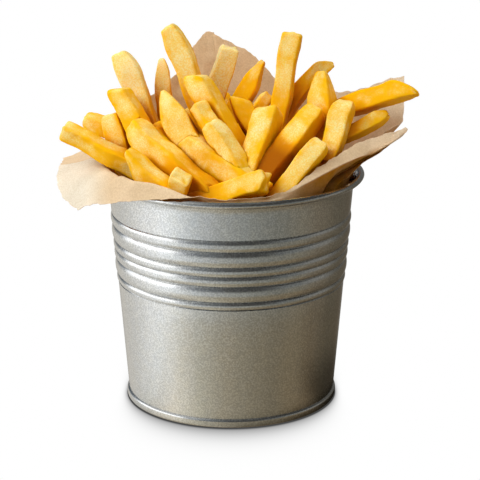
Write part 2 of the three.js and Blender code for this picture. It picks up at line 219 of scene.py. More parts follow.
SUNK_FROM_TO = (0.42, 0.97)  # where it darkens, of the way from the tip to where it sinks in
DENTS = 9  # size of the soft dents in the skin
BLISTERS = 1.6
FRY_REACH = 48  # the buried end of a fry stays this close to the axis
FRY_CLEAR = 0.4  # and its skin this far from the paper
FRY_UNDER = (0.45, -0.55)  # how far faces look to the light where they start and end to darken
PARE_REACH = 8  # how far through the paper a fry's skin is brought back
PARE_BESIDE = 28  # degrees beside the pleat where the flap doesn't pare the fries
CORE_SHOULDER = 84  # height where its side ends
CORE_CROWN = [(42, 96), (32, 104), (15, 109), (0, 110)]  # radius, height
CORE_TURNS = 96
CORE_LUMPS = 12  # their size
CORE_RELIEF = 5
CORE_CLEAR = 1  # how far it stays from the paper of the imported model

# What a fry is like where the tables don't say otherwise.
PLAIN_FRY = {
    "turn": -15,  # about its own length
    "ends": (0.92, 0.92),  # size of the tip against the body, across and deep
    "point": 0.35,  # length of the narrowing, in widths
    "power": 2.0,  # how round the narrowing is: 1 is a straight wedge
    "aim": (0, 0),  # the side to which the tip narrows, across and deep, -1 to 1
    "slant": (0, 0),  # of the cut at the tip, across and deep
    "bow": (0, 0, 0),  # how far the middle bends out
    "depth": 1.0,  # against the width
    "ragged": 0.3,  # roughness of the cut
    "dry_and_lit": 0,  # over 0 paler and more floury than the others, under 0 oilier; set fry by fry, it also paints the light and shade that fall on each fry
    "sunk": 0.15,  # how much darker it is painted, as shade, from its middle to where it sinks in
}

# Fries that stand clear of the heap: the tip, the place where they sink in, the width and
# what else sets each one off from a plain fry.
SHOWING_FRIES = {
    "A": dict(tip=(-74.5, -8, 126), foot=(-46.5, -14, 112.5), width=8.2, turn=-18,
        ends=(0.85, 0.9), point=3.5),
    "B": dict(tip=(-66.5, 12, 126.5), foot=(-54, 9, 122), width=7.6, turn=-15, ends=(0.65, 0.75),
        point=0.7),
    "C": dict(tip=(-53, 3, 131), foot=(-49, -1, 116), width=9.6, turn=-20, ends=(0.8, 0.8),
        point=0.5, dry_and_lit=0.6),
    "D": dict(tip=(-50.5, -3, 143.5), foot=(-41.5, -8, 128.5), width=9.4, turn=-18,
        ends=(0.8, 0.85), point=0.5, slant=(-1.5, 0), dry_and_lit=-0.3),
    "E": dict(tip=(-49, 14, 157), foot=(-38, 7, 125.5), width=10.4, turn=-1, ends=(0.62, 0.85),
        point=1.1, aim=(-0.9, 0), slant=(0.5, 0), dry_and_lit=3),
    "F": dict(tip=(-31, 24, 152), foot=(-30.5, 20, 133.5), width=7.4, turn=-2, ends=(0.3, 0.6),
        point=1.7, aim=(-0.25, 0), dry_and_lit=3),
    "G": dict(tip=(-27.5, 16, 168.5), foot=(-14.5, 11, 132), width=9.6, turn=-3,
        ends=(0.68, 0.85), point=1.2, aim=(-0.9, 0), slant=(0.6, 0), bow=(0.8, 0, 0), dry_and_lit=1),
    "H": dict(tip=(-0.5, 32, 155.5), foot=(-7, 28, 137.5), width=9, turn=4, ragged=1.0,
        bow=(0.6, 0, 0), dry_and_lit=3.5),
    "I": dict(tip=(-15.5, -2, 149.5), foot=(-1, -10, 126.5), width=10.2, turn=-22,
        ends=(0.7, 0.8), point=1.0, aim=(-0.6, 0), slant=(-1.4, 0), bow=(-1.3, 0, -1)),
    "J": dict(tip=(-31, -6, 142.5), foot=(-14.5, -17, 122), width=12.2, turn=4, ends=(0.15, 0.5),
        point=1.3, power=1.8, aim=(0.2, 0), bow=(-2, 0, -2), dry_and_lit=1),
    "K": dict(tip=(-15, -13, 138.5), foot=(-9, -18, 130), width=7.5, turn=45, ends=(0.85, 0.85),
        ragged=0),
    "L": dict(tip=(-9, -22, 132.5), foot=(5.5, -32, 110.5), width=8.8, turn=-34, ends=(0.7, 0.8),
        point=1.0, power=1.6, aim=(-0.5, 0), dry_and_lit=0.6),
    "M": dict(tip=(-44, -15, 129), foot=(-18.5, -32, 110.5), width=10.8, turn=-14,
        ends=(0.55, 0.7), point=1.0, aim=(0.8, 0), bow=(0, 0, -0.5), dry_and_lit=0.5, sunk=0.4),
    "N": dict(tip=(-46.5, -31, 119.5), foot=(-27.5, -37, 105), width=9.5, turn=-20,
        ends=(0.15, 0.6), point=1.3, power=1.1, aim=(0.95, 0)),
    "O": dict(tip=(-21.2, -45, 114.6), foot=(-23.4, -43.5, 106), width=8.6, turn=-10,
        ends=(0.95, 0.95), ragged=0.2, slant=(-0.9, 1.2), depth=0.8, dry_and_lit=0.6, sunk=0.05),
    "P": dict(tip=(-21.5, -17, 122.5), foot=(-5, -27, 114), width=12.5, turn=-14, ends=(0.9, 0.9),
        point=0.4, slant=(-2.6, 0), depth=0.75, dry_and_lit=0.9, sunk=0),
    "EE": dict(tip=(-35, -12, 126.5), foot=(-23, -18, 116), width=7, dry_and_lit=-1),
    "Q": dict(tip=(-33.5, -2, 127), foot=(-29, -6, 121), width=8, turn=0, ends=(0.8, 0.8)),
    "R": dict(tip=(15, -47, 112.5), foot=(-8, -41, 103), width=9.4, turn=-38, ends=(0.9, 0.9),
        ragged=1.3, slant=(-1, 0), dry_and_lit=-0.3, sunk=0.4),
    "S": dict(tip=(17.5, -12, 136), foot=(8.5, -26, 114), width=10.3, turn=-34, ends=(0.8, 0.85),
        point=0.45, slant=(1.3, 0), dry_and_lit=0.5),
    "T": dict(tip=(3.5, 3, 137.5), foot=(11, -2, 123), width=8.6, turn=14, ends=(0.85, 0.9),
        point=0.4, slant=(-3, 0), dry_and_lit=-1.2),
    "U": dict(tip=(14, 24, 151), foot=(4, 20, 131.5), width=8.6, turn=-20, ends=(0.22, 0.5),
        point=2.0, power=1.5, aim=(0.3, 0), dry_and_lit=-0.8),
    "V": dict(tip=(17, 16, 137), foot=(12.5, 12, 131.5), width=6, turn=0, ends=(0.6, 0.6),
        point=0.7),
    "W": dict(tip=(27.5, 10, 166), foot=(21.5, 2, 127), width=8.1, turn=-12, ends=(1.12, 1.1),
        point=3, power=1.0, ragged=0.8, bow=(-0.5, 0, 0), dry_and_lit=0.5),
    "X": dict(tip=(46.5, 22, 149), foot=(28.5, 13, 123), width=7, turn=-20, ends=(0.3, 0.5),
        point=1.6, power=1.3, bow=(-1.2, 0, 10.3), dry_and_lit=0.6),
    "Y": dict(tip=(41, 8, 148.5), foot=(41, 1, 133), width=11, turn=-25, ends=(0.35, 0.5),
        point=1.5, power=2.3),
    "Z": dict(tip=(38.5, -11, 135.5), foot=(17.5, -27, 113), width=10, turn=-42, ends=(0.7, 0.8),
        point=0.6, aim=(-0.2, 0), dry_and_lit=0.8, sunk=1.2),
    "AA": dict(tip=(50.5, -11, 139), foot=(41.5, -27, 116), width=9.2, turn=-25, ends=(0.7, 0.8),
        point=0.6, aim=(0.8, 0), ragged=0.5, dry_and_lit=0.8, sunk=0.35),
    "BB": dict(tip=(81.5, -14, 147), foot=(58.5, 0, 135.5), width=8.9, turn=-35, ends=(0.15, 0.4),
        point=1.5, aim=(0.95, 0), bow=(0, 0, 1), dry_and_lit=-1),
    "CC": dict(tip=(69.5, -9, 133), foot=(52, -12, 125), width=6.2, turn=-38, ends=(0.5, 0.6),
        point=1.0, power=1.7, ragged=0.9),
    "DD": dict(tip=(39.5, -33, 126.5), foot=(23.5, -40, 107.5), width=8.3, turn=-28,
        ends=(0.75, 0.8), point=0.5, dry_and_lit=0.4),
}

FILLING_FRIES = 36
GOLDEN_ANGLE = 137.508  # degrees from one to the next, which spreads them evenly
FILLING_NEAR = 6  # from the pail's axis
FILLING_FAR = 47
FILLING_HEIGHT = 115  # of their tips in the middle
FILLING_SLOPE = 0.35  # they stand higher at the back
FILLING_FRONT = 18  # and past this at the front they sink by FILLING_SINK a millimetre
FILLING_SINK = 0.5
FILLING_SHOWN = 16  # length above the place where they sink in
FILLING_STRAY = 20  # most degrees off their even places
FILLING_UNEVEN = 5  # between their highest and lowest tips
FILLING_WIDTH = 8.6
FILLING_WIDER = 1.8  # most that they are wider
PACKED_SEED, SHOWING_SEED, FILLING_SEED = 7, 11, 23
SHOWING_RINGS, FILLING_RINGS = 30, 22

# ---- the view ---------------------------------------------------------------------------

EYE = (0.0, -830.6, 315.7)
LOOK_AT = (4.03, 0.0, 72.64)
LENS = 142.6

# ---- settings ---------------------------------------------------------------------------


class PailSettings(bpy.types.PropertyGroup):
    """Sizes and finish of the galvanised pail."""

    sheet: bpy.props.FloatProperty(
        name="Sheet", description="Thickness of the steel", default=0.0005, min=0.0003, max=0.0008,
        unit="LENGTH", precision=4)
    turns: bpy.props.IntProperty(
        name="Facets", description="Faces round the pail", default=288, min=48, max=360)
    steel: bpy.props.FloatVectorProperty(
        name="Steel", description="Colour of the zinc", subtype="COLOR", size=3, min=0, max=1,
        default=(0.61, 0.61, 0.605))
    roughness: bpy.props.FloatProperty(
        name="Roughness", description="Roughness of the zinc", default=0.2, min=0.1, max=1,
        subtype="FACTOR")


class PaperSettings(bpy.types.PropertyGroup):
    """Sizes and finish of the paper liner."""

    thickness: bpy.props.FloatProperty(
        name="Thickness", description="Thickness of the sheet", default=0.0002, min=0.0001,
        max=0.0005, unit="LENGTH", precision=4)
    crumple: bpy.props.FloatProperty(
        name="Crumple", description="Depth of the crumples", default=0.0011, min=0, max=0.003,
        unit="LENGTH", precision=4)
    # Painted light: the paler colour where the light falls on the flap at the left and on top of
    # the flap at the right
    lit_pale: bpy.props.FloatVectorProperty(
        name="Bleached", description="The flap that hangs out in the light", subtype="COLOR",
        size=3, min=0, max=1, default=(1.0, 0.96, 0.84))
    kraft: bpy.props.FloatVectorProperty(
        name="Kraft", description="Usual colour of the paper", subtype="COLOR", size=3, min=0,
        max=1, default=(0.94, 0.76, 0.53))
    # shaded and hidden are painted shade: the paper's colour for faces turned aside from the light
    # and turned away from it
    shaded: bpy.props.FloatVectorProperty(
        name="Shaded", description="Faces turned aside", subtype="COLOR", size=3, min=0, max=1,
        default=(0.82, 0.58, 0.35))
    hidden: bpy.props.FloatVectorProperty(
        name="Hidden", description="Faces turned away, brown from the light that comes through",
        subtype="COLOR", size=3, min=0, max=1, default=(0.58, 0.26, 0.06))
    # hollow is painted shade, for the sheet under the fold at the right
    hollow: bpy.props.FloatVectorProperty(
        name="Hollow", description="Under the fold at the right", subtype="COLOR", size=3, min=0,
        max=1, default=(0.5, 0.26, 0.08))


class FriesSettings(bpy.types.PropertyGroup):
    """Number, surface and colours of the fries."""

    filling: bpy.props.IntProperty(
        name="Filling", description="Fries behind and between the ones in front",
        default=FILLING_FRIES, min=0, max=60)
    relief: bpy.props.FloatProperty(
        name="Relief", description="Unevenness of the fried skin", default=0.0007, min=0,
        max=0.002, unit="LENGTH", precision=4)
    pale: bpy.props.FloatVectorProperty(
        name="Pale", description="Palest skin", subtype="COLOR", size=3, min=0, max=1,
        default=(1.0, 0.77, 0.26))
    golden: bpy.props.FloatVectorProperty(
        name="Golden", description="Usual colour of the skin", subtype="COLOR", size=3, min=0,
        max=1, default=(0.97, 0.52, 0.003))
    # Painted shade: skin on faces turned away from the light is mixed towards this amber
    shaded_amber: bpy.props.FloatVectorProperty(
        name="Amber", description="Oily undersides and edges", subtype="COLOR", size=3, min=0,
        max=1, default=(0.88, 0.41, 0.001))
    # deep and brown are painted shade: skin closed in by the other fries and sinking into the heap
    deep: bpy.props.FloatVectorProperty(
        name="Deep", description="Skin between the other fries", subtype="COLOR", size=3, min=0,
        max=1, default=(0.68, 0.26, 0.001))
    brown: bpy.props.FloatVectorProperty(
        name="Brown", description="Skin deep in the heap", subtype="COLOR", size=3, min=0,
        max=1, default=(0.4, 0.12, 0.001))
    # frost is also the colour of the painted highlight on the palest fries
    frost: bpy.props.FloatVectorProperty(
        name="Frost", description="Dry, floury specks", subtype="COLOR", size=3, min=0, max=1,
        default=(1.0, 0.88, 0.56))


class StudioSettings(bpy.types.PropertyGroup):
    """Floor, light and camera."""

    key: bpy.props.FloatProperty(
        name="Key", description="Power of the key light", default=2.2, min=0, unit="POWER")
    fill: bpy.props.FloatProperty(
        name="Fill", description="Strength of the light from all round", default=0.6, min=0)
    lens: bpy.props.FloatProperty(
        name="Lens", description="Focal length of the camera in millimetres", default=LENS, min=20)


# ---- modelling helpers ------------------------------------------------------------------


def deselect_all():
    bpy.ops.object.select_all(action="DESELECT")


def make_active(piece):
    deselect_all()
    piece.select_set(True)
    bpy.context.view_layer.objects.active = piece


@contextmanager
def edit_mode(choose=None):
    """Edit mode on the active piece, with SELECT for all of its mesh, DESELECT for none, or
    what is already selected."""
    bpy.ops.object.mode_set(mode="EDIT")
    if choose:
        bpy.ops.mesh.select_all(action=choose)
    yield
    bpy.ops.object.mode_set(mode="OBJECT")


def apply_modifier(piece, kind, **settings):
    """Adds a modifier with these settings and applies it."""
    make_active(piece)
    modifier = piece.modifiers.new(kind.title(), kind)
    for name, value in settings.items():
        setattr(modifier, name, value)
    bpy.ops.object.modifier_apply(modifier=modifier.name)


def finish_piece(piece, material, slot, *nodes):
    """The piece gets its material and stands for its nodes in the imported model."""
    piece.data.materials.clear()
    piece.data.materials.append(material)
    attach(piece, "root")
    if nodes:
        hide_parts(*nodes)


def vertex_values(mesh, name):
    values = np.empty(len(mesh.vertices) * 3)
    mesh.vertices.foreach_get(name, values)
    return values.reshape(-1, 3)


def vertex_places(mesh):
    return vertex_values(mesh, "co")


def vertex_normals(mesh):
    return vertex_values(mesh, "normal")


def place_vertices(mesh, places):
    mesh.vertices.foreach_set("co", np.asarray(places, float).ravel())
    mesh.update()


def store_attribute(mesh, name, values):
    """Gives each point of the mesh a number or a vector that a material can read."""
    values = np.asarray(values, np.float32)
    kind, key = ("FLOAT", "value") if values.ndim == 1 else ("FLOAT_VECTOR", "vector")
    mesh.attributes.new(name, kind, "POINT").data.foreach_set(key, values.ravel())


def turned_piece(name, profile, turns):
    """A profile of (radius, height) in millimetres, drawn point by point and spun once round."""
    deselect_all()
    radius, height = profile[0]
    bpy.ops.mesh.primitive_plane_add(size=MM, location=(0, 0, 0))
    piece = bpy.context.object
    piece.name = piece.data.name = name
    with edit_mode("SELECT"):
        bpy.ops.mesh.merge(type="CENTER")
        bpy.ops.transform.translate(value=(radius * MM, 0, height * MM))
        for (r0, z0), (r1, z1) in zip(profile, profile[1:]):
            step = ((r1 - r0) * MM, 0, (z1 - z0) * MM)
            bpy.ops.mesh.extrude_region_move(TRANSFORM_OT_translate={"value": step})
        bpy.ops.mesh.select_all(action="SELECT")
        bpy.ops.mesh.spin(steps=turns, angle=TURN, center=(0, 0, 0), axis=(0, 0, 1))
        bpy.ops.mesh.select_all(action="SELECT")
        bpy.ops.mesh.remove_doubles(threshold=2 * SAME_PLACE)
        bpy.ops.mesh.normals_make_consistent(inside=False)
    return piece


def shade_smooth(piece, degrees):
    make_active(piece)
    bpy.ops.object.shade_smooth_by_angle(angle=math.radians(degrees))


def displace(piece, name, kind, size, strength, group="", **texture_settings):
    """Pushes the surface in and out along its normals by one of Blender's own textures."""
    texture = bpy.data.textures.new(name, kind)
    texture.noise_scale = size
    for setting, value in texture_settings.items():
        setattr(texture, setting, value)
    apply_modifier(
        piece, "DISPLACE", texture=texture, strength=strength, mid_level=0.5,
        texture_coords="LOCAL", vertex_group=group)


def share_of(value, low, high):
    """0 at low and 1 at high, straight in between and level past them."""
    return np.clip((value - low) / (high - low), 0, 1)


def eased(share):
    return share * share * (3 - 2 * share)


def catmull(before, start, end, after, t):
    """A point of the smooth curve between start and end."""
    cubic = -before + 3 * start - 3 * end + after
    square = 2 * before - 5 * start + 4 * end - after
    return 0.5 * (2 * start + (end - before) * t + square * t**2 + cubic * t**3)


def seeded_random(seed):
    """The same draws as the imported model's filling."""
    state = seed
    while True:
        state = (state * 1664525 + 1013904223) % 4294967296
        yield state / 4294967296


# ---- materials --------------------------------------------------------------------------

# Scale, detail and roughness of each noise.
ZINC_GRAIN = (1500, 2.0, 0.5)
ZINC_BLOTCH = (260, 3.0, 0.6)
PAPER_CLOUD = (90, 3.0, 0.55)
PAPER_FIBRE = (1300, 4.0, 0.75)
PAPER_CRUMPLE = (110, 4.0, 0.55)
SKIN_PATCH = (120, 2.0, 0.5)
SKIN_MOTTLE = (380, 3.0, 0.6)
SKIN_FLECK = (1800, 3.0, 0.6)
CORE_PATCH = (150, 3.0, 0.6)

WHITE = (1, 1, 1, 1)
ZINC_DARK, ZINC_LIGHT = 0.85, 1.18  # the grain's shades, against the zinc's own
ZINC_COOL, ZINC_WARM = (0.97, 0.985, 1.0, 1), (1.0, 1.0, 0.98, 1)
FIBRE_DARK, FIBRE_LIGHT = (0.88, 0.85, 0.8, 1), (1.02, 1.02, 1.03, 1)
PAPER_THROUGH = 0.22  # share of the light that comes through the sheet
# The heap's middle is painted dark amber for the shade deep between the fries.
CORE_DARK, CORE_LIGHT = (0.45, 0.14, 0.008, 1), (0.7, 0.3, 0.02, 1)

# How far each thing makes the skin dry and pale, or deep in colour: the edges as they fry,
# and as painted shade the faces turned from the light and the skin closed in by other fries.
TONE_TO_DRY, MOTTLE_TO_DRY = 0.12, 0.4
EDGE_TO_OIL, UNDER_TO_SHADE, DEPTH_TO_SHADE = 0.18, 0.34, 0.55


def new_material(name):
    material = bpy.data.materials.new(name)
    material.use_nodes = True
    material.node_tree.nodes.clear()
    return material, material.node_tree


def node(tree, kind, inputs=None, **settings):
    """Adds a node; each input is a value or the socket that feeds it."""
    made = tree.nodes.new(kind)
    for name, value in settings.items():
        setattr(made, name, value)
    for key, value in (inputs or {}).items():
        if isinstance(value, bpy.types.NodeSocket):
            tree.links.new(value, made.inputs[key])
        else:
            made.inputs[key].default_value = value
    return made


def opaque(colour):
    return (*colour, 1)


def noise_value(tree, place, scale, detail, roughness):
    inputs = {"Vector": place, "Scale": scale, "Detail": detail, "Roughness": roughness}
    return node(tree, "ShaderNodeTexNoise", inputs).outputs["Fac"]


def remap(tree, value, low, high, to_low=0.0, to_high=1.0, curve="SMOOTHSTEP"):
    inputs = {
        "Value": value, "From Min": low, "From Max": high, "To Min": to_low, "To Max": to_high}
    return node(tree, "ShaderNodeMapRange", inputs, interpolation_type=curve).outputs["Result"]


def combine(tree, operation, first, second=0.0):
    return node(tree, "ShaderNodeMath", {0: first, 1: second}, operation=operation).outputs[0]


def plus(tree, first, second):
    return combine(tree, "ADD", first, second)


def less(tree, first, second):
    return combine(tree, "SUBTRACT", first, second)


def times(tree, first, second):
    return combine(tree, "MULTIPLY", first, second)


def fading(tree, value):
    """1 at 0, and towards 0 as the value grows."""
    return combine(tree, "EXPONENT", times(tree, value, -1.0))


def mix_colours(tree, share, first, second, blend="MIX"):
    made = node(
        tree, "ShaderNodeMix", {0: share, 6: first, 7: second}, data_type="RGBA",
        blend_type=blend)
    return made.outputs[2]


def tinted(tree, first, second):
    return mix_colours(tree, 1.0, first, second, "MULTIPLY")


def ramp(tree, value, stops):
    """A colour for each (place, colour) stop, blended smoothly in between."""
    made = node(tree, "ShaderNodeValToRGB", {0: value})
    made.color_ramp.interpolation = "EASE"
    elements = made.color_ramp.elements
    while len(elements) < len(stops):
        elements.new(0.5)
    for element, (place, colour) in zip(elements, stops):
        element.position = place
        element.color = opaque(colour)
    return made.outputs["Color"]


def bump(tree, height, distance, strength=1.0, normal=None):
    inputs = {"Height": height, "Distance": distance, "Strength": strength}
    if normal is not None:
        inputs["Normal"] = normal
    return node(tree, "ShaderNodeBump", inputs).outputs["Normal"]


def shader_output(tree, inputs):
    surface = node(tree, "ShaderNodeBsdfPrincipled", inputs)
    node(tree, "ShaderNodeOutputMaterial", {"Surface": surface.outputs["BSDF"]})


def mix_shaders(tree, share, first, second):
    inputs = {0: share, 1: first.outputs[0], 2: second.outputs[0]}
    return node(tree, "ShaderNodeMixShader", inputs)


def object_place(tree):
    return node(tree, "ShaderNodeTexCoord").outputs["Object"]


def attribute(tree, name, output="Fac"):
    return node(tree, "ShaderNodeAttribute", attribute_name=name).outputs[output]


def axes_of(tree, place):
    """The X, Y and Z of a place or a direction."""
    return node(tree, "ShaderNodeSeparateXYZ", {0: place}).outputs


def steel_material(settings):
    """Galvanised sheet: fine zinc grain in colour, gloss and relief."""
    material, tree = new_material("galvanised_steel")
    place = object_place(tree)
    grain = noise_value(tree, place, *ZINC_GRAIN)
    blotch = noise_value(tree, place, *ZINC_BLOTCH)
    dark = opaque(c * ZINC_DARK for c in settings.steel)
    light = opaque(min(1, c * ZINC_LIGHT) for c in settings.steel)
    colour = mix_colours(tree, remap(tree, grain, 0.38, 0.68), dark, light)
    sheen = mix_colours(tree, remap(tree, blotch, 0.3, 0.7), ZINC_COOL, ZINC_WARM)
    gloss = settings.roughness
    shader_output(tree, {
        "Base Color": tinted(tree, colour, sheen),
        "Metallic": 1.0,
        "Roughness": remap(tree, grain, 0.3, 0.7, gloss - 0.04, gloss + 0.06),
        "Normal": bump(tree, grain, 0.02 * MM, 0.2),
    })
    return material


def paper_material(settings):
    """Unbleached kraft paper: soft mottling, short fibres and a dry surface that lets some
    light through. Light and shade are painted into its colour: paler where the light falls
    on the flap at the left and on top of the one at the right, darker on faces turned from
    the light, and darkest under the fold at the right."""
    material, tree = new_material("kraft_paper")
    place = object_place(tree)
    x, y, z = axes_of(tree, place)
    cloud = noise_value(tree, place, *PAPER_CLOUD)
    fibre = noise_value(tree, place, *PAPER_FIBRE)
    crumple = noise_value(tree, place, *PAPER_CRUMPLE)
    under = attribute(tree, "under")
    # Painted shade: the colour goes from kraft to shaded and hidden as faces turn away from the
    # light.
    sides = ramp(tree, under, [
        (0.42, settings.kraft), (0.68, settings.shaded), (1, settings.hidden)])
    # Painted light: the flap at the left and the top of the flap at the right are mixed towards a
    # pale colour where the light falls on them.
    left = times(tree, remap(tree, x, -0.05, -0.066), remap(tree, under, 0.6, 0.2))
    left = times(tree, left, remap(tree, y, 0.0105, 0.008))
    right = times(tree, remap(tree, x, 0.03, 0.06), remap(tree, z, 0.120, 0.130))
    pale = combine(tree, "MAXIMUM", left, times(tree, right, 0.45))
    sides = mix_colours(tree, pale, sides, opaque(settings.lit_pale))
    # Painted shade under the fold at the right.
    sides = mix_colours(tree, attribute(tree, "hollow"), sides, opaque(settings.hollow))
    clouded = remap(tree, cloud, 0.3, 0.7, 0.08, 0.0)
    colour = mix_colours(tree, clouded, sides, WHITE, "SUBTRACT")
    specks = mix_colours(tree, remap(tree, fibre, 0.33, 0.66), FIBRE_DARK, FIBRE_LIGHT)
    colour = tinted(tree, colour, specks)
    relief = bump(tree, fibre, 0.03 * MM, 0.5, bump(tree, crumple, 1.2 * MM, 0.5))
    surface = node(tree, "ShaderNodeBsdfPrincipled", {
        "Base Color": colour, "Roughness": 0.85, "Specular IOR Level": 0.25, "Normal": relief})
    through = node(tree, "ShaderNodeBsdfTranslucent", {"Color": colour, "Normal": relief})
    both = mix_shaders(tree, PAPER_THROUGH, surface, through)
    node(tree, "ShaderNodeOutputMaterial", {"Surface": both.outputs[0]})
    return material


def fries_material(settings):
    """Fried potato skin: golden, paler and floury on the dry faces, with painted light and
    shade: the dry, pale faces are partly painted light, faces turned from the light are
    painted amber, and the skin between the other fries and where they sink in is painted
    browner."""
    material, tree = new_material("fried_potato")
    skin = attribute(tree, "skin", "Vector")
    edge, tone, under = (attribute(tree, name) for name in ("edge", "tone", "under"))
    depth = plus(tree, attribute(tree, "depth"), attribute(tree, "sunk"))
    patch = noise_value(tree, skin, *SKIN_PATCH)
    mottle = noise_value(tree, skin, *SKIN_MOTTLE)
    fleck = noise_value(tree, skin, *SKIN_FLECK)

    # Partly painted light: the skin is paler where this is high, on fries set dry, on faces to the
    # light and away from the painted shade.
    dry_and_lit = plus(tree, remap(tree, patch, 0.0, 1.0, 0.17, 0.83), times(tree, tone, TONE_TO_DRY))
    dry_and_lit = plus(tree, dry_and_lit, times(tree, mottle, MOTTLE_TO_DRY))
    for value, share in ((edge, EDGE_TO_OIL), (under, UNDER_TO_SHADE), (depth, DEPTH_TO_SHADE)):
        dry_and_lit = less(tree, dry_and_lit, times(tree, value, share))

    # Painted shade: amber on faces turned away from the light.
    body = mix_colours(tree, under, opaque(settings.golden), opaque(settings.shaded_amber))
    # Painted shade: deeper and browner where the skin is closed in by other fries or sinks in.
    body = mix_colours(tree, remap(tree, depth, 0.15, 0.6), body, opaque(settings.deep))
    body = mix_colours(tree, remap(tree, depth, 0.45, 1.1), body, opaque(settings.brown))
    grainy = times(tree, remap(tree, dry_and_lit, 0.45, 0.97), remap(tree, fleck, 0.36, 0.62, 0.55, 1.0))
    body = mix_colours(tree, grainy, body, opaque(settings.pale))
    # Painted highlight: the driest fries are mixed further towards the pale, floury colour.
    powder_and_highlight = times(
        tree, remap(tree, dry_and_lit, 0.8, 1.3, 0.0, 0.7), remap(tree, fleck, 0.3, 0.62, 0.3, 1.0))
    body = mix_colours(tree, powder_and_highlight, body, opaque(settings.frost))
    flour = times(tree, remap(tree, fleck, 0.45, 0.7), remap(tree, dry_and_lit, 0.5, 0.9))
    body = mix_colours(tree, times(tree, flour, 0.5), body, opaque(settings.frost))
    relief = bump(tree, mottle, 0.4 * MM, 0.3)
    shader_output(tree, {
        "Base Color": body,
        "Roughness": remap(tree, fleck, 0.3, 0.7, 0.45, 0.6),
        "Subsurface Weight": 0.4,
        "Subsurface Radius": (1.0, 0.6, 0.25),
        "Subsurface Scale": 1.5 * MM,
        "Specular IOR Level": 0.1,
        "Normal": bump(tree, fleck, 0.12 * MM, 0.4, relief),
    })
    return material


def core_material():
    """The depth of the heap between the fries, painted dark amber for the shade down there."""
    material, tree = new_material("heap_painted_shade")
    patch = noise_value(tree, object_place(tree), *CORE_PATCH)
    shader_output(tree, {
        "Base Color": mix_colours(tree, remap(tree, patch, 0.3, 0.7), CORE_DARK, CORE_LIGHT),
        "Roughness": 0.6,
        "Normal": bump(tree, patch, 1 * MM, 0.6),
    })
    return material


# ---- the pail ---------------------------------------------------------------------------


def wall_radius(height):
    """Outside radius of the plain cone that the wall follows."""
    rise = (height - FOOT_HEIGHT) / (CONE_TOP - FOOT_HEIGHT)
    return WALL_FOOT_RADIUS + rise * (WALL_TOP_RADIUS - WALL_FOOT_RADIUS)


def rib_line(top, height, crown):
    """Down one rib: a rounded crown that drops sharply into the grooves beside it."""
    line = []
    for step in range(1, RIB_STEPS + 1):
        down = step / RIB_STEPS
        out = 1 - abs(2 * down - 1) ** RIB_POWER
        z = top - down * height
        line.append((wall_radius(z) - GROOVE_DEPTH + out * (GROOVE_DEPTH + crown), z))
    return line


def plain_line(low, high, steps):
    """Up the plain wall from one height to another."""
    heights = [low + i * (high - low) / steps for i in range(steps + 1)]
    return [(wall_radius(z), z) for z in heights]


def wall_profile(sheet):
    """The sheet's inner face: up the wall, round the rolled rim and in under it."""
    ribs = [(wall_radius(RIBS_TOP) - GROOVE_DEPTH, RIBS_TOP)]
    top = RIBS_TOP
    for height, crown in RIBS:
        ribs += rib_line(top, height, crown)
        top -= height
    line = plain_line(FOOT_HEIGHT, top - BY_RIBS, 8)
    line += ribs[::-1]
    line += plain_line(RIBS_TOP + BY_RIBS, CONE_TOP - ROLL_RADIUS, 4)
    inner = [(r - sheet, z) for r, z in line]
    roll = []
    for degrees in ROLL_DEGREES:
        angle = math.radians(degrees)
        out, up = (
            math.copysign(ROLL_RADIUS * abs(part) ** (2 / ROLL_POWER), part)
            for part in (math.cos(angle), math.sin(angle)))
        roll.append((RIM_RADIUS - ROLL_RADIUS + out, HEIGHT - ROLL_RADIUS + up))
    return inner + roll


class PAIL_OT_wall(bpy.types.Operator):
    """Spin the ribbed wall and its rolled rim"""

    bl_idname = "fries_pail.wall"
    bl_label = "Pail Wall"

    def execute(self, context):
        settings = context.scene.pail_settings
        wall = turned_piece("steel_wall", wall_profile(settings.sheet / MM), settings.turns)
        make_active(wall)
        highest = max(wall.data.polygons, key=lambda face: face.center.z)
        if highest.normal.z < 0:
            wall.data.flip_normals()
        apply_modifier(
            wall, "SOLIDIFY", thickness=settings.sheet, offset=-1, use_quality_normals=True)
        shade_smooth(wall, STEEL_ANGLE)
        finish_piece(wall, steel_material(settings), "steel", "pail_wall")
        return {"FINISHED"}


class PAIL_OT_base(bpy.types.Operator):
    """Spin the foot ring and the disc in it"""

    bl_idname = "fries_pail.base"
    bl_label = "Pail Base"

    def execute(self, context):
        settings = context.scene.pail_settings
        ring = FOOT_RADIUS - RING_WALL
        disc = BASE_RECESS + BASE_SHEET
        profile = [(0, BASE_RECESS), (ring - 3, BASE_RECESS), (ring - 0.4, BASE_RECESS + 0.1)]
        profile += [(ring, BASE_RECESS - 0.4), (ring, 0.4), (ring + 0.15, 0.1), (ring + 0.45, 0)]
        for step in range(BEAD_STEPS + 1):
            up = step / BEAD_STEPS
            out = BEAD_RADIUS - BEAD_OUT * abs(2 * up - 1) ** BEAD_POWER
            profile.append((out, FOOT_HEIGHT * up))
        profile += [(ring, FOOT_HEIGHT - 0.3), (ring, disc + 0.4), (ring - 0.5, disc), (0, disc)]
        base = turned_piece("steel_base", profile, settings.turns)
        shade_smooth(base, STEEL_ANGLE)
        material = bpy.data.materials.get("galvanised_steel") or steel_material(settings)
        finish_piece(base, material, "steel", "pail_base")
        return {"FINISHED"}


# ---- the paper --------------------------------------------------------------------------


def paper_radius(height):
    return wall_radius(height) - STEEL_IN_FRAME - GROOVE_DEPTH - GAP - PAPER_IN_FRAME / 2


def mouth_point(azimuth, height, depth):
    """A point of the paper against the wall, tucked in at the pleat."""
    pleat = depth * math.exp(-(((azimuth - PLEAT_AZIMUTH) / PLEAT_WIDTH) ** 2))
    radius = paper_radius(height) - pleat
    angle = math.radians(azimuth)
    return np.array([radius * math.cos(angle), radius * math.sin(angle), height])


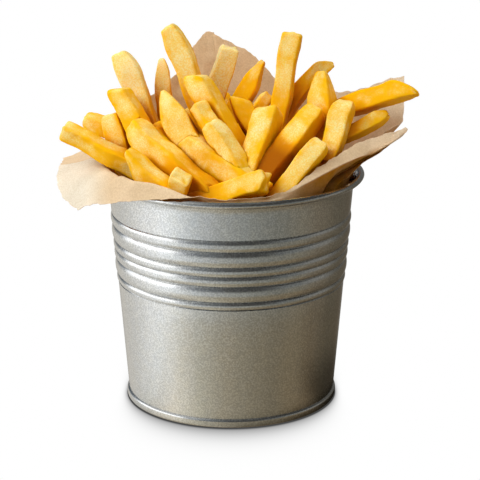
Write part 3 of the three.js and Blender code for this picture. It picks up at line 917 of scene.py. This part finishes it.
def between(before, start, end, after, t, sharp):
    """A point from start to end: on the smooth curve, or on the straight line where sharp."""
    return (1 - sharp) * catmull(before, start, end, after, t) + sharp * (start + (end - start) * t)


def sheet_column(azimuth, crease, edge, sharp):
    """Points up the sheet: out over the pail's floor, up the wall, over the crease."""
    floor_height = BASE_RECESS + STEEL_IN_FRAME + GAP + PAPER_IN_FRAME / 2
    centre = np.array([0, 0, floor_height])
    corner = mouth_point(azimuth, floor_height, 0)
    wall = mouth_point(azimuth, PLEAT_MIDDLE, PLEAT_DEPTH / 3)
    mouth = mouth_point(azimuth, min(MOUTH, crease[2] - 2), PLEAT_DEPTH)
    past = 2 * edge - crease
    points = [centre + (corner - centre) * share for share in FLOOR_SHARES]
    points += [
        mouth_point(azimuth, floor_height + 1 + LOW_ROW_HEIGHT * row, 0) for row in range(LOW_ROWS)]
    for row in range(PLEAT_ROWS):
        up = row / PLEAT_ROWS
        height = PLEAT_FROM + up * (PLEAT_MIDDLE - PLEAT_FROM)
        points.append(mouth_point(azimuth, height, up * PLEAT_DEPTH / 3))
    points += [wall + (mouth - wall) * row / MOUTH_ROWS for row in range(MOUTH_ROWS + 1)]
    for rows, curve in (
            (CREASE_ROWS, (wall, mouth, crease, edge)), (FLAP_ROWS, (mouth, crease, edge, past))):
        points += [between(*curve, row / rows, sharp) for row in range(1, rows + 1)]
    return points


def sheet_columns():
    """All columns of the sheet: the crease is smooth between the ones in the table, the edge
    goes straight from one to the next and is torn."""
    azimuths, creases, edges, sharps = (
        [np.array(column[k], float) for column in PAPER_COLUMNS] for k in range(4))
    count = len(PAPER_COLUMNS)
    columns = []
    gone = 0
    for index in range(count):
        around = [(index + k) % count for k in (-1, 0, 1, 2)]
        here, there = around[1:3]
        turn = (azimuths[there] - azimuths[here]) % 360
        for step in range(STEPS_PER_COLUMN):
            t = step / STEPS_PER_COLUMN
            crease = catmull(*(creases[k] for k in around), t)
            edge = edges[here] + t * (edges[there] - edges[here])
            sharp = sharps[here] + t * (sharps[there] - sharps[here])
            torn = TORN * (math.sin(0.8 * gone) + math.sin(1.4 * gone + 1) * math.sin(0.5 * gone))
            edge = edge + torn * (edge - crease) / np.linalg.norm(edge - crease)
            gone += np.linalg.norm(edges[there] - edges[here]) / STEPS_PER_COLUMN
            columns.append(sheet_column(azimuths[here] + t * turn, crease, edge, sharp))
    return np.array(columns)


def hollow_share(places):
    """1 on the sheet under the fold at the right, which little light reaches and where the
    material paints shade. It fades in from the left in two steps, and out at the right."""
    azimuth = np.degrees(np.arctan2(places[:, 1], places[:, 0]))
    fold = FOLD_HEIGHT + (azimuth - FOLD_AZIMUTH) * FOLD_RISE
    below = share_of(places[:, 2], fold - 0.4, fold - 1.9)
    left = 0.6 * share_of(azimuth, -66, -56) + 0.4 * share_of(azimuth, -40, -34)
    return below * left * share_of(azimuth, -2, -8)


class PAPER_OT_liner(bpy.types.Operator):
    """Wrap a grid into the pail, fold it over the rim and crumple it"""

    bl_idname = "fries_pail.paper"
    bl_label = "Paper Liner"

    def execute(self, context):
        settings = context.scene.paper_settings
        columns = sheet_columns()
        around, rows = columns.shape[:2]
        deselect_all()
        bpy.ops.mesh.primitive_grid_add(x_subdivisions=around, y_subdivisions=rows - 1, size=1)
        paper = bpy.context.object
        paper.name = paper.data.name = "paper_sheet"
        flat = vertex_places(paper.data)
        column = np.rint((flat[:, 0] + 0.5) * around).astype(int) % around
        row = np.rint((flat[:, 1] + 0.5) * (rows - 1)).astype(int)
        place_vertices(paper.data, columns[column, row] * MM)
        make_active(paper)
        with edit_mode("SELECT"):
            bpy.ops.mesh.remove_doubles(threshold=SAME_PLACE)
        self.crumple(paper, settings)
        apply_modifier(paper, "SOLIDIFY", thickness=settings.thickness, offset=0)
        store_under(paper.data, *PAPER_UNDER)
        store_attribute(paper.data, "hollow", hollow_share(vertex_places(paper.data) / MM))
        shade_smooth(paper, PAPER_ANGLE)
        finish_piece(paper, paper_material(settings), "paper", "paper_liner")
        return {"FINISHED"}

    def crumple(self, paper, settings):
        """Crumples are deepest on the free flaps and fade out against the wall."""
        places = vertex_places(paper.data) / MM
        free = share_of(places[:, 2], FREE_FROM, FREE_TO)
        free[np.hypot(places[:, 0], places[:, 1]) > RIM_RADIUS] = 1
        group = paper.vertex_groups.new(name="free")
        for index, weight in enumerate(free):
            group.add([index], float(weight), "REPLACE")
        waves, creases = CRUMPLE_WAVES * MM, CRUMPLE_CREASES * MM
        displace(paper, "crumple_waves", "CLOUDS", waves, settings.crumple * 1.6, "free")
        displace(
            paper, "crumple_creases", "VORONOI", creases, settings.crumple, "free",
            distance_metric="DISTANCE", weight_1=-1.0, weight_2=1.0)


# ---- the fries --------------------------------------------------------------------------


def buried_end(tip, foot):
    """The hidden end: straight on from the visible part, but short of the paper."""
    along = (foot - tip) / np.linalg.norm(foot - tip)
    length = BURIED
    while length > 2 and np.hypot(*(foot + along * length)[:2]) > FRY_REACH:
        length -= 2
    return foot + along * length


def filling_fries(count):
    """Fries behind and between the others, by a golden-angle rule."""
    draw = seeded_random(PACKED_SEED)
    fries = []
    for i in range(count):
        azimuth = math.radians(i * GOLDEN_ANGLE + FILLING_STRAY * next(draw))
        spread = math.sqrt((i + 0.5) / FILLING_FRIES)
        reach = FILLING_NEAR + (FILLING_FAR - FILLING_NEAR) * spread
        x, y = reach * math.cos(azimuth), reach * math.sin(azimuth)
        top = FILLING_HEIGHT + FILLING_SLOPE * y - FILLING_SINK * max(0, -y - FILLING_FRONT)
        tip = (x, y, top + FILLING_UNEVEN * (next(draw) - 0.5))
        lean = 0.6 + 0.25 * next(draw)
        foot = (x * lean, y * lean, tip[2] - FILLING_SHOWN)
        width = FILLING_WIDTH + FILLING_WIDER * next(draw)
        bow = (2 * next(draw) - 1, 2 * next(draw) - 1, 0)
        blunt = 0.6 + 0.35 * next(draw)
        fries.append(dict(
            tip=tip, foot=foot, width=width, ends=(blunt, blunt), turn=90 * next(draw), bow=bow))
    return fries


def select_edges(mesh, wanted):
    places = vertex_places(mesh)
    mesh.polygons.foreach_set("select", [False] * len(mesh.polygons))
    mesh.vertices.foreach_set("select", [False] * len(mesh.vertices))
    for edge in mesh.edges:
        a, b = edge.vertices
        edge.select = bool(wanted(*abs(places[a] - places[b])))


def edit_edges(piece, wanted, operator, **settings):
    """Runs an operator on the edges whose reach in x, y and z is wanted."""
    select_edges(piece.data, wanted)
    with edit_mode():
        operator(**settings)


def stick(name, rings):
    """A square stick with rounded edges, 2 x 2 x 2 units, with rings along it."""
    deselect_all()
    bpy.ops.mesh.primitive_cube_add(size=2, location=(0, 0, 0))
    made = bpy.context.object
    made.name = made.data.name = name
    with edit_mode("DESELECT"):
        bpy.ops.mesh.select_mode(type="EDGE")
    edit_edges(
        made, lambda x, y, z: z > 1, bpy.ops.mesh.bevel,
        offset=STICK_BEVEL, segments=STICK_BEVEL_STEPS, affect="EDGES")
    edit_edges(made, lambda x, y, z: z > 1, bpy.ops.mesh.subdivide, number_cuts=rings)
    edit_edges(
        made, lambda x, y, z: z < 0.01 and x + y > 1, bpy.ops.mesh.subdivide,
        number_cuts=STICK_SIDE_CUTS)
    return made


def bend_stick(places, fry, draw):
    """Carries the stick's own section along the fry's curve and returns its places."""
    tip, foot, bow = (np.array(fry[key], float) for key in ("tip", "foot", "bow"))
    end = buried_end(tip, foot)
    control = (tip + end) / 2 + 2 * bow
    length = np.linalg.norm(tip - control) + np.linalg.norm(control - end)
    u, v = places[:, 0], places[:, 1]
    along = 1 - (1 - (places[:, 2] + 1) / 2) ** CROWDED_RINGS
    from_tip = (1 - along) * length
    half = fry["width"] / 2

    narrow = share_of(from_tip, fry["point"] * fry["width"], 0) ** fry["power"]
    rim = share_of(from_tip, ROUND_EDGE, 0)
    rounded = 1 - ROUND_EDGE / half * (1 - np.sqrt(1 - rim**2))
    skew = SKEW * (2 * next(draw) - 1)
    sides = [u + skew * v, v]
    for k in (0, 1):
        size = 1 - (1 - fry["ends"][k]) * narrow
        sides[k] = sides[k] * rounded * size + fry["aim"][k] * (1 - size)

    cut = share_of(from_tip, CUT_REACH, 0) ** 2
    pits = np.sin(2.3 * u + 1.1 * v + 9 * next(draw)) * np.sin(2.9 * v - 1.3 * u + 9 * next(draw))
    shift = fry["slant"][0] * u + fry["slant"][1] * v + fry["ragged"] * pits
    t = (along + shift / length * cut)[:, None]
    path = (1 - t) ** 2 * end + 2 * t * (1 - t) * control + t**2 * tip
    tangent = 2 * (1 - t) * (control - end) + 2 * t * (tip - control)
    tangent /= np.linalg.norm(tangent, axis=1)[:, None]
    side = np.cross((0, 1, 0), tangent)
    side /= np.linalg.norm(side, axis=1)[:, None]
    front = np.cross(tangent, side)
    turn = np.radians(fry["turn"] + TWIST * (2 * next(draw) - 1) * from_tip / length)[:, None]
    across = side * np.cos(turn) + front * np.sin(turn)
    deep = np.cross(tangent, across)

    waves = [
        np.sin(TURN * (from_tip / WAVE * (0.8 + 0.5 * next(draw)) + next(draw))) for _ in range(4)]
    sway = waves[0][:, None] * side + waves[1][:, None] * front
    sway *= SWAY * share_of(from_tip, 0, SWAY_FROM)[:, None]
    wide = half * (1 + SWELL * waves[2]) * (1 - THINNER * share_of(along, THINNER_BELOW, 0))
    thick = wide * fry["depth"] * (1 + SWELL * waves[3])
    return path + sway + across * (wide * sides[0])[:, None] + deep * (thick * sides[1])[:, None]


def store_skin(mesh, shape, fry, number):
    """Each fry's own coordinates, longer than wide, so that its mottling runs along it."""
    half = fry["width"] / 2
    length = np.linalg.norm(np.subtract(fry["tip"], fry["foot"])) + BURIED
    size = np.array([half, half, SKIN_STRETCH * length / 2])
    shift = np.array(SKIN_SHIFT) * (number + 1)
    store_attribute(mesh, "skin", (shape * size + shift) * MM)


def edge_of(places):
    """1 along the edges of a stick, 0 in the middle of its faces."""
    nearer = np.minimum(np.abs(places[:, 0]), np.abs(places[:, 1]))
    return share_of(nearer, *EDGE_FROM_TO) ** 1.5


def sunk_share(places, fry):
    """From 0 on a fry's upper part to 1 where it sinks into the heap."""
    tip, along = np.array(fry["tip"]), np.subtract(fry["foot"], fry["tip"])
    return eased(share_of((places - tip) @ along / (along @ along), *SUNK_FROM_TO))


def store_under(mesh, most, least):
    """From 0 for faces that look to the light to 1 for faces turned away from it."""
    facing = vertex_normals(mesh) @ np.array(PALE_SIDE) / np.linalg.norm(PALE_SIDE)
    store_attribute(mesh, "under", eased(share_of(facing, most, least)))


def store_depth(heaps):
    """How closed in each point of the skin is by the fries round it, from rays cast outward.
    The fries' material paints shade by it.
    """
    places = [vertex_places(heap.data) for heap in heaps]
    points, faces = [], []
    for heap, own in zip(heaps, places):
        faces += [[len(points) + v for v in face.vertices] for face in heap.data.polygons]
        points += [tuple(place) for place in own]
    tree = BVHTree.FromPolygons(points, faces)
    spiral = [
        (math.sqrt((k + 0.5) / DEPTH_RAYS), math.radians(k * GOLDEN_ANGLE))
        for k in range(DEPTH_RAYS)]
    lean = Vector(PALE_SIDE).normalized() * DEPTH_TO_LIGHT
    for heap, own in zip(heaps, places):
        normals = vertex_normals(heap.data)
        closed = np.zeros(len(own))
        for index, normal in enumerate(normals):
            out = Vector(normal)
            side = out.orthogonal().normalized()
            front = out.cross(side)
            start = Vector(own[index]) + out * DEPTH_START * MM
            for spread, angle in spiral:
                angle += DEPTH_TURN * index
                across = side * math.cos(angle) + front * math.sin(angle)
                ray = across * spread + out * math.sqrt(1 - spread**2) + lean
                distance = tree.ray_cast(start, ray.normalized(), DEPTH_REACH * MM)[3]
                if distance is not None:
                    closed[index] += 1 - distance / (DEPTH_REACH * MM)
        store_attribute(heap.data, "depth", closed / DEPTH_RAYS)


def heap_of(name, fries, rings, seed):
    """Copies of the stick, each bent to its own fry, joined into one piece."""
    master = stick(name + "_master", rings)
    shape = vertex_places(master.data)
    draw = seeded_random(seed)
    sticks = []
    for number, own in enumerate(fries):
        fry = {**PLAIN_FRY, **own}
        one = bpy.data.objects.new(f"{name}_{number}", master.data.copy())
        bpy.context.collection.objects.link(one)
        place_vertices(one.data, bend_stick(shape, fry, draw) * MM)
        store_skin(one.data, shape, fry, number)
        store_attribute(one.data, "edge", edge_of(shape))
        store_attribute(one.data, "tone", np.full(len(shape), next(draw) + fry["dry_and_lit"]))
        sunk = sunk_share(vertex_places(one.data) / MM, fry)
        store_attribute(one.data, "sunk", fry["sunk"] * sunk)
        sticks.append(one)
    bpy.data.objects.remove(master)
    deselect_all()
    for one in sticks:
        one.select_set(True)
    bpy.context.view_layer.objects.active = sticks[0]
    bpy.ops.object.join()
    heap = bpy.context.object
    heap.name = heap.data.name = name
    make_active(heap)
    with edit_mode("SELECT"):
        bpy.ops.mesh.normals_make_consistent(inside=False)
    return heap


def fry_skin(heap, relief):
    """Rounds the sticks and gives their skin its dents and blisters."""
    apply_modifier(heap, "SUBSURF", levels=1, render_levels=1)
    displace(heap, heap.name + "_dents", "CLOUDS", DENTS * MM, relief * 1.3)
    displace(heap, heap.name + "_blisters", "CLOUDS", BLISTERS * MM, relief * 0.4, noise_depth=2)


def pare_by_paper(heap, clear):
    """Moves what would cross the paper back to its inner side."""
    columns = sheet_columns() * MM
    around, rows = columns.shape[:2]
    points = columns.reshape(-1, 3)
    faces = []
    for c in range(around):
        x, y, _ = columns[c, WALL_ROWS]
        by_pleat = abs(math.degrees(math.atan2(y, x)) - PLEAT_AZIMUTH) < PARE_BESIDE
        for r in range(WALL_ROWS if by_pleat else rows - 1):
            a, b = c * rows + r, ((c + 1) % around) * rows + r
            faces.append((a, b, b + 1, a + 1))
    tree = BVHTree.FromPolygons([Vector(p) for p in points], faces)
    places = vertex_places(heap.data)
    for index, place in enumerate(places):
        near, normal, *_ = tree.find_nearest(Vector(place), PARE_REACH * MM)
        if near is None:
            continue
        inward = -normal
        depth = (Vector(place) - near).dot(inward)
        if depth < clear:
            places[index] = near + inward * clear + (Vector(place) - near - inward * depth)
    place_vertices(heap.data, places)


class FRIES_OT_core(bpy.types.Operator):
    """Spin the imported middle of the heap, which closes the gaps between the fries"""

    bl_idname = "fries_pail.core"
    bl_label = "Heap Core"

    def execute(self, context):
        clear = GAP + PAPER_IN_FRAME / 2 + CORE_CLEAR
        bottom = BASE_RECESS + STEEL_IN_FRAME + GAP + PAPER_IN_FRAME + clear
        profile = [(0, bottom), (paper_radius(bottom) - clear, bottom)]
        profile += [(paper_radius(CORE_SHOULDER) - clear - PLEAT_DEPTH / 4, CORE_SHOULDER)]
        profile += CORE_CROWN
        core = turned_piece("heap_core", profile, CORE_TURNS)
        apply_modifier(core, "SUBSURF", levels=2, render_levels=2)
        displace(core, "core_lumps", "CLOUDS", CORE_LUMPS * MM, CORE_RELIEF * MM)
        shade_smooth(core, FOOD_ANGLE)
        finish_piece(core, core_material(), "fries", "fries")
        return {"FINISHED"}


class FRIES_OT_showing(bpy.types.Operator):
    """Bend and place the fries that stand clear of the heap"""

    bl_idname = "fries_pail.showing"
    bl_label = "Showing Fries"

    def execute(self, context):
        heap_of("fries_showing", SHOWING_FRIES.values(), SHOWING_RINGS, SHOWING_SEED)
        return {"FINISHED"}


class FRIES_OT_filling(bpy.types.Operator):
    """Bend and place the fries behind and between them"""

    bl_idname = "fries_pail.filling"
    bl_label = "Filling Fries"

    def execute(self, context):
        count = context.scene.fries_settings.filling
        heap_of("fries_filling", filling_fries(count), FILLING_RINGS, FILLING_SEED)
        return {"FINISHED"}


class FRIES_OT_skin(bpy.types.Operator):
    """Round the fries, give them dents and blisters and colour them by their place"""

    bl_idname = "fries_pail.skin"
    bl_label = "Fried Skin"

    def execute(self, context):
        settings = context.scene.fries_settings
        material = fries_material(settings)
        heaps = [bpy.data.objects[name] for name in ("fries_showing", "fries_filling")]
        store_depth(heaps)
        for heap in heaps:
            fry_skin(heap, settings.relief)
            pare_by_paper(heap, FRY_CLEAR * MM)
            store_under(heap.data, *FRY_UNDER)
            shade_smooth(heap, FOOD_ANGLE)
            finish_piece(heap, material, "fries", "fries")
        return {"FINISHED"}


# ---- floor, light and camera ------------------------------------------------------------

# Sizes and places are in metres in this part.
FLOOR_SIZE = 6
FLOOR_LIT = (0.6, 0.58, 0.55, 1)
LIT_POINT = (0, 0, 0.12)
LIGHTS = {  # place, size and colour
    "key": ((-0.42, -0.24, 0.46), (0.34, 0.34), (1, 0.985, 0.95)),
    "top": ((0.2, 0.25, 1.0), (0.5, 0.3), (1, 0.99, 0.97)),
}
ROUND_LIGHT = (1.0, 0.94, 0.84, 1)
SENSOR_WIDTH = 36  # of the camera, in millimetres
CLIP = (0.05, 50)

SHADOW_LEAST = 0.0011  # length of the soft shadow beside the pail
SHADOW_LENGTH = 0.0106  # how much longer it is in front
SHADOW_POWER = 1.3
SHADOW_DARK = 0.66
LINE_LENGTH = 0.12  # of the dark line at the foot, against the shadow's
LINE_DARK = 0.28

# What the steel mirrors of the floor, by azimuth in degrees from the front, positive to the
# right: the floor's tint near the pail, its painted shadow by the foot, and its painted shadow
# at the right.
NEAR_TINT = {
    -80: (1, 1, 1), -66: (0.92, 0.92, 0.90), -54: (0.81, 0.78, 0.72), -40: (0.82, 0.75, 0.64),
    -18: (0.88, 0.79, 0.63), 0: (0.93, 0.80, 0.63), 40: (1.0, 0.86, 0.68), 60: (0.98, 0.88, 0.74),
    90: (0.90, 0.86, 0.80), 180: (1, 1, 1),
}
FOOT_SHADE = {-80: 0.05, -45: 0.1, -10: 0.2, 20: 0.42, 45: 0.75, 90: 0.8, 180: 0.3}
CLOSE_SHADE = {48: 0, 74: 1, 102: 1, 124: 0.75, 150: 0.75, 180: 0}
CLOSE_DARK = 0.6


def add_light(name, place, target, size, power, colour):
    data = bpy.data.lights.new(name, "AREA")
    data.shape = "RECTANGLE"
    data.size, data.size_y = size
    data.energy = power
    data.color = colour
    light = bpy.data.objects.new(name, data)
    light.location = place
    light.rotation_euler = (Vector(target) - Vector(place)).to_track_quat("-Z", "Y").to_euler()
    light.visible_glossy = False
    bpy.context.scene.collection.objects.link(light)


def azimuth_share(tree, x, y):
    """0 at the back, 0.25 at the left, 0.5 in front, 0.75 at the right and 1 at the back."""
    angle = combine(tree, "ARCTAN2", x, times(tree, y, -1.0))
    return remap(tree, angle, -math.pi, math.pi, curve="LINEAR")


def ramp_around(tree, around, stops):
    """A ramp whose stops are by azimuth: degrees from the front, positive to the right. A
    single number stands for a grey."""
    return ramp(tree, around, [
        ((degrees + 180) / 360, colour if isinstance(colour, tuple) else (colour,) * 3)
        for degrees, colour in stops.items()])


def floor_shade(tree, y, away):
    """The soft shadow round the pail's foot, longest towards the front and the back, and the
    thin dark line where it stands."""
    outward = combine(tree, "MAXIMUM", less(tree, away, BEAD_RADIUS * MM), 0.0)
    forward = combine(tree, "POWER", combine(tree, "DIVIDE", y, away), 2.0)
    length = plus(tree, times(tree, forward, SHADOW_LENGTH), SHADOW_LEAST)
    reach = combine(tree, "DIVIDE", outward, length)
    wide = combine(tree, "POWER", reach, SHADOW_POWER)
    line = combine(tree, "POWER", combine(tree, "DIVIDE", reach, LINE_LENGTH), 2.0)
    soft = times(tree, fading(tree, wide), SHADOW_DARK)
    dark = times(tree, fading(tree, line), LINE_DARK)
    return less(tree, 1.0, plus(tree, soft, dark))


def floor_tint(tree, around, away):
    """What the floor takes from the light that the steel mirrors: warm near the pail, and
    dimmed by painted shadow by its foot and at the right."""
    near = remap(tree, away, 0.145, 0.165, 1.0, 0.0)
    warm = mix_colours(tree, near, WHITE, ramp_around(tree, around, NEAR_TINT))
    by_foot = remap(tree, away, 0.049, 0.060, 1.0, 0.0)
    foot = times(tree, by_foot, ramp_around(tree, around, FOOT_SHADE))
    close = remap(tree, away, 0.062, 0.115, CLOSE_DARK, 0.0)
    right = times(tree, close, ramp_around(tree, around, CLOSE_SHADE))
    return tinted(tree, warm, times(tree, less(tree, 1.0, right), less(tree, 1.0, foot)))


def floor_material():
    """A white floor that is warm in the light it gives back, and that the steel sees through
    a tint, as a mirror sees the studio beyond it."""
    material, tree = new_material("studio_floor")
    place = object_place(tree)
    x, y, _ = axes_of(tree, place)
    away = node(tree, "ShaderNodeVectorMath", {0: place}, operation="LENGTH").outputs["Value"]
    ray = node(tree, "ShaderNodeLightPath").outputs
    # What the camera sees: a white floor with the painted shadow round the foot.
    pale = node(
        tree, "ShaderNodeEmission", {"Color": WHITE, "Strength": floor_shade(tree, y, away)})
    lit = node(tree, "ShaderNodeBsdfDiffuse", {"Color": FLOOR_LIT})
    tint = floor_tint(tree, azimuth_share(tree, x, y), away)
    mirrored = node(tree, "ShaderNodeBsdfTransparent", {"Color": tint})
    soft = mix_shaders(tree, ray["Is Glossy Ray"], lit, mirrored)
    both = mix_shaders(tree, ray["Is Camera Ray"], soft, pale)
    node(tree, "ShaderNodeOutputMaterial", {"Surface": both.outputs[0]})
    return material


# What the steel mirrors, by azimuth in degrees from the front, positive to the right.
LOW_VIEW = {
    -180: (0.35, 0.33, 0.30), -150: (0.55, 0.53, 0.48), -109: (0.80, 0.79, 0.74),
    -78: (0.70, 0.69, 0.65), -48: (0.83, 0.85, 0.85), -28: (0.67, 0.69, 0.68),
    0: (0.45, 0.46, 0.43), 28: (0.31, 0.31, 0.27), 50: (0.28, 0.27, 0.23),
    82: (0.26, 0.23, 0.18), 126: (0.15, 0.13, 0.10), 180: (0.35, 0.33, 0.30),
}
FLOOR_VIEW = {
    -180: (0.35, 0.33, 0.30), -150: (0.74, 0.71, 0.65), -130: (0.82, 0.80, 0.75),
    -108: (1.0, 0.99, 0.95), -92: (1.2, 1.2, 1.18), -68: (1.36, 1.38, 1.38), -56: (1.16, 1.2, 1.19),
    -46: (0.96, 0.99, 1.00), -36: (0.77, 0.81, 0.81), -28: (0.67, 0.69, 0.69),
    -8: (0.50, 0.51, 0.48), 10: (0.39, 0.40, 0.37), 28: (0.31, 0.31, 0.275),
    48: (0.25, 0.245, 0.21), 70: (0.26, 0.235, 0.18), 94: (0.21, 0.175, 0.125),
    126: (0.14, 0.12, 0.085), 152: (0.127, 0.105, 0.075), 180: (0.35, 0.33, 0.30),
}
ROOM_VIEW = {
    -180: (0.14, 0.14, 0.14), -150: (0.10, 0.12, 0.14), -130: (0.3, 0.33, 0.36),
    -114: (2.0, 2.02, 2.05), -60: (2.0, 2.02, 2.05), -49: (0.72, 0.75, 0.78),
    -38: (0.30, 0.32, 0.34), -20: (0.19, 0.205, 0.215), 0: (0.09, 0.09, 0.088),
    25: (0.07, 0.07, 0.066), 40: (0.13, 0.135, 0.13), 55: (0.20, 0.21, 0.205),
    96: (0.275, 0.27, 0.25), 130: (0.12, 0.115, 0.10), 180: (0.14, 0.14, 0.14),
}
HIGH_VIEW = {
    -180: (0.12, 0.12, 0.12), -140: (0.3, 0.32, 0.34), -109: (0.75, 0.75, 0.75),
    -78: (0.75, 0.75, 0.73), -48: (0.5, 0.52, 0.52), -27: (0.22, 0.23, 0.23),
    0: (0.095, 0.095, 0.093), 25: (0.07, 0.07, 0.066), 60: (0.055, 0.055, 0.053),
    96: (0.05, 0.05, 0.047), 180: (0.12, 0.12, 0.12),
}
CEILING = (0.2, 0.2, 0.19)
# The heights between which each gives way to the next, as the sine of the angle up.
VIEW_HEIGHTS = ((-0.9, -0.5), (-0.24, 0.11), (0.38, 0.55), (0.9, 0.99))


def mirrored_studio(tree):
    """The studio as the steel sees it, by azimuth and height: the floor, the soft box at the
    left, the dim room and the ceiling."""
    direction = node(tree, "ShaderNodeTexCoord").outputs["Generated"]
    x, y, z = axes_of(tree, direction)
    around = azimuth_share(tree, x, y)
    seen, *higher = (
        ramp_around(tree, around, view) for view in (LOW_VIEW, FLOOR_VIEW, ROOM_VIEW, HIGH_VIEW))
    for view, (start, end) in zip((*higher, opaque(CEILING)), VIEW_HEIGHTS):
        seen = mix_colours(tree, remap(tree, z, start, end), seen, view)
    return seen


def studio_world(fill):
    """Soft light from all round for what isn't a mirror, and a white backdrop."""
    world = bpy.data.worlds.new("studio")
    world.use_nodes = True
    tree = world.node_tree
    tree.nodes.clear()
    ray = node(tree, "ShaderNodeLightPath").outputs
    round_light, mirrored, white = (
        node(tree, "ShaderNodeBackground", {"Color": colour, "Strength": strength})
        for colour, strength in ((ROUND_LIGHT, fill), (mirrored_studio(tree), 1.0), (WHITE, 1.0)))
    light = mix_shaders(tree, ray["Is Glossy Ray"], round_light, mirrored)
    both = mix_shaders(tree, ray["Is Camera Ray"], light, white)
    node(tree, "ShaderNodeOutputWorld", {"Surface": both.outputs[0]})
    bpy.context.scene.world = world


class STUDIO_OT_stage(bpy.types.Operator):
    """Add the floor, the lights and the camera"""

    bl_idname = "fries_pail.stage"
    bl_label = "Studio"

    def execute(self, context):
        settings = context.scene.studio_settings
        scene = context.scene
        scene.view_settings.view_transform = "Standard"
        deselect_all()
        bpy.ops.mesh.primitive_plane_add(size=FLOOR_SIZE, location=(0, 0, 0))
        floor = bpy.context.object
        floor.name = "floor"
        floor.data.materials.append(floor_material())
        studio_world(settings.fill)
        for name, (place, size, colour) in LIGHTS.items():
            add_light(name, place, LIT_POINT, size, settings.key, colour)
        data = bpy.data.cameras.new("camera")
        data.lens = settings.lens
        data.sensor_width = SENSOR_WIDTH
        data.clip_start, data.clip_end = CLIP
        camera = bpy.data.objects.new("camera", data)
        eye, target = Vector(EYE) * MM, Vector(LOOK_AT) * MM
        camera.location = eye
        camera.rotation_euler = (target - eye).to_track_quat("-Z", "Y").to_euler()
        scene.collection.objects.link(camera)
        scene.camera = camera
        return {"FINISHED"}


# ---- panel and registration -------------------------------------------------------------


class PAIL_PT_sidebar(bpy.types.Panel):
    """Lists the pieces and their settings."""

    bl_idname = "PAIL_PT_sidebar"
    bl_label = "Fries Pail"
    bl_space_type = "VIEW_3D"
    bl_region_type = "UI"
    bl_category = "Fries Pail"

    def draw(self, context):
        column = self.layout.column()
        for group in SETTINGS:
            settings = getattr(context.scene, group)
            for name in settings.__annotations__:
                column.prop(settings, name)
        for operator in PIECES:
            column.operator(operator.bl_idname)


SETTINGS = {
    "pail_settings": PailSettings,
    "paper_settings": PaperSettings,
    "fries_settings": FriesSettings,
    "studio_settings": StudioSettings,
}
PIECES = (
    PAIL_OT_wall, PAIL_OT_base, PAPER_OT_liner, FRIES_OT_core, FRIES_OT_showing,
    FRIES_OT_filling, FRIES_OT_skin, STUDIO_OT_stage,
)


def register():
    for group in SETTINGS.values():
        bpy.utils.register_class(group)
    for operator in PIECES:
        bpy.utils.register_class(operator)
    bpy.utils.register_class(PAIL_PT_sidebar)
    for name, group in SETTINGS.items():
        setattr(bpy.types.Scene, name, bpy.props.PointerProperty(type=group))


def unregister():
    for name in SETTINGS:
        delattr(bpy.types.Scene, name)
    bpy.utils.unregister_class(PAIL_PT_sidebar)
    for operator in reversed(PIECES):
        bpy.utils.unregister_class(operator)
    for group in SETTINGS.values():
        bpy.utils.unregister_class(group)


def main():
    register()
    bpy.ops.fries_pail.wall()
    bpy.ops.fries_pail.base()
    bpy.ops.fries_pail.paper()
    bpy.ops.fries_pail.core()
    bpy.ops.fries_pail.showing()
    bpy.ops.fries_pail.filling()
    bpy.ops.fries_pail.skin()
    bpy.ops.fries_pail.stage()


if __name__ == "__main__":
    main()
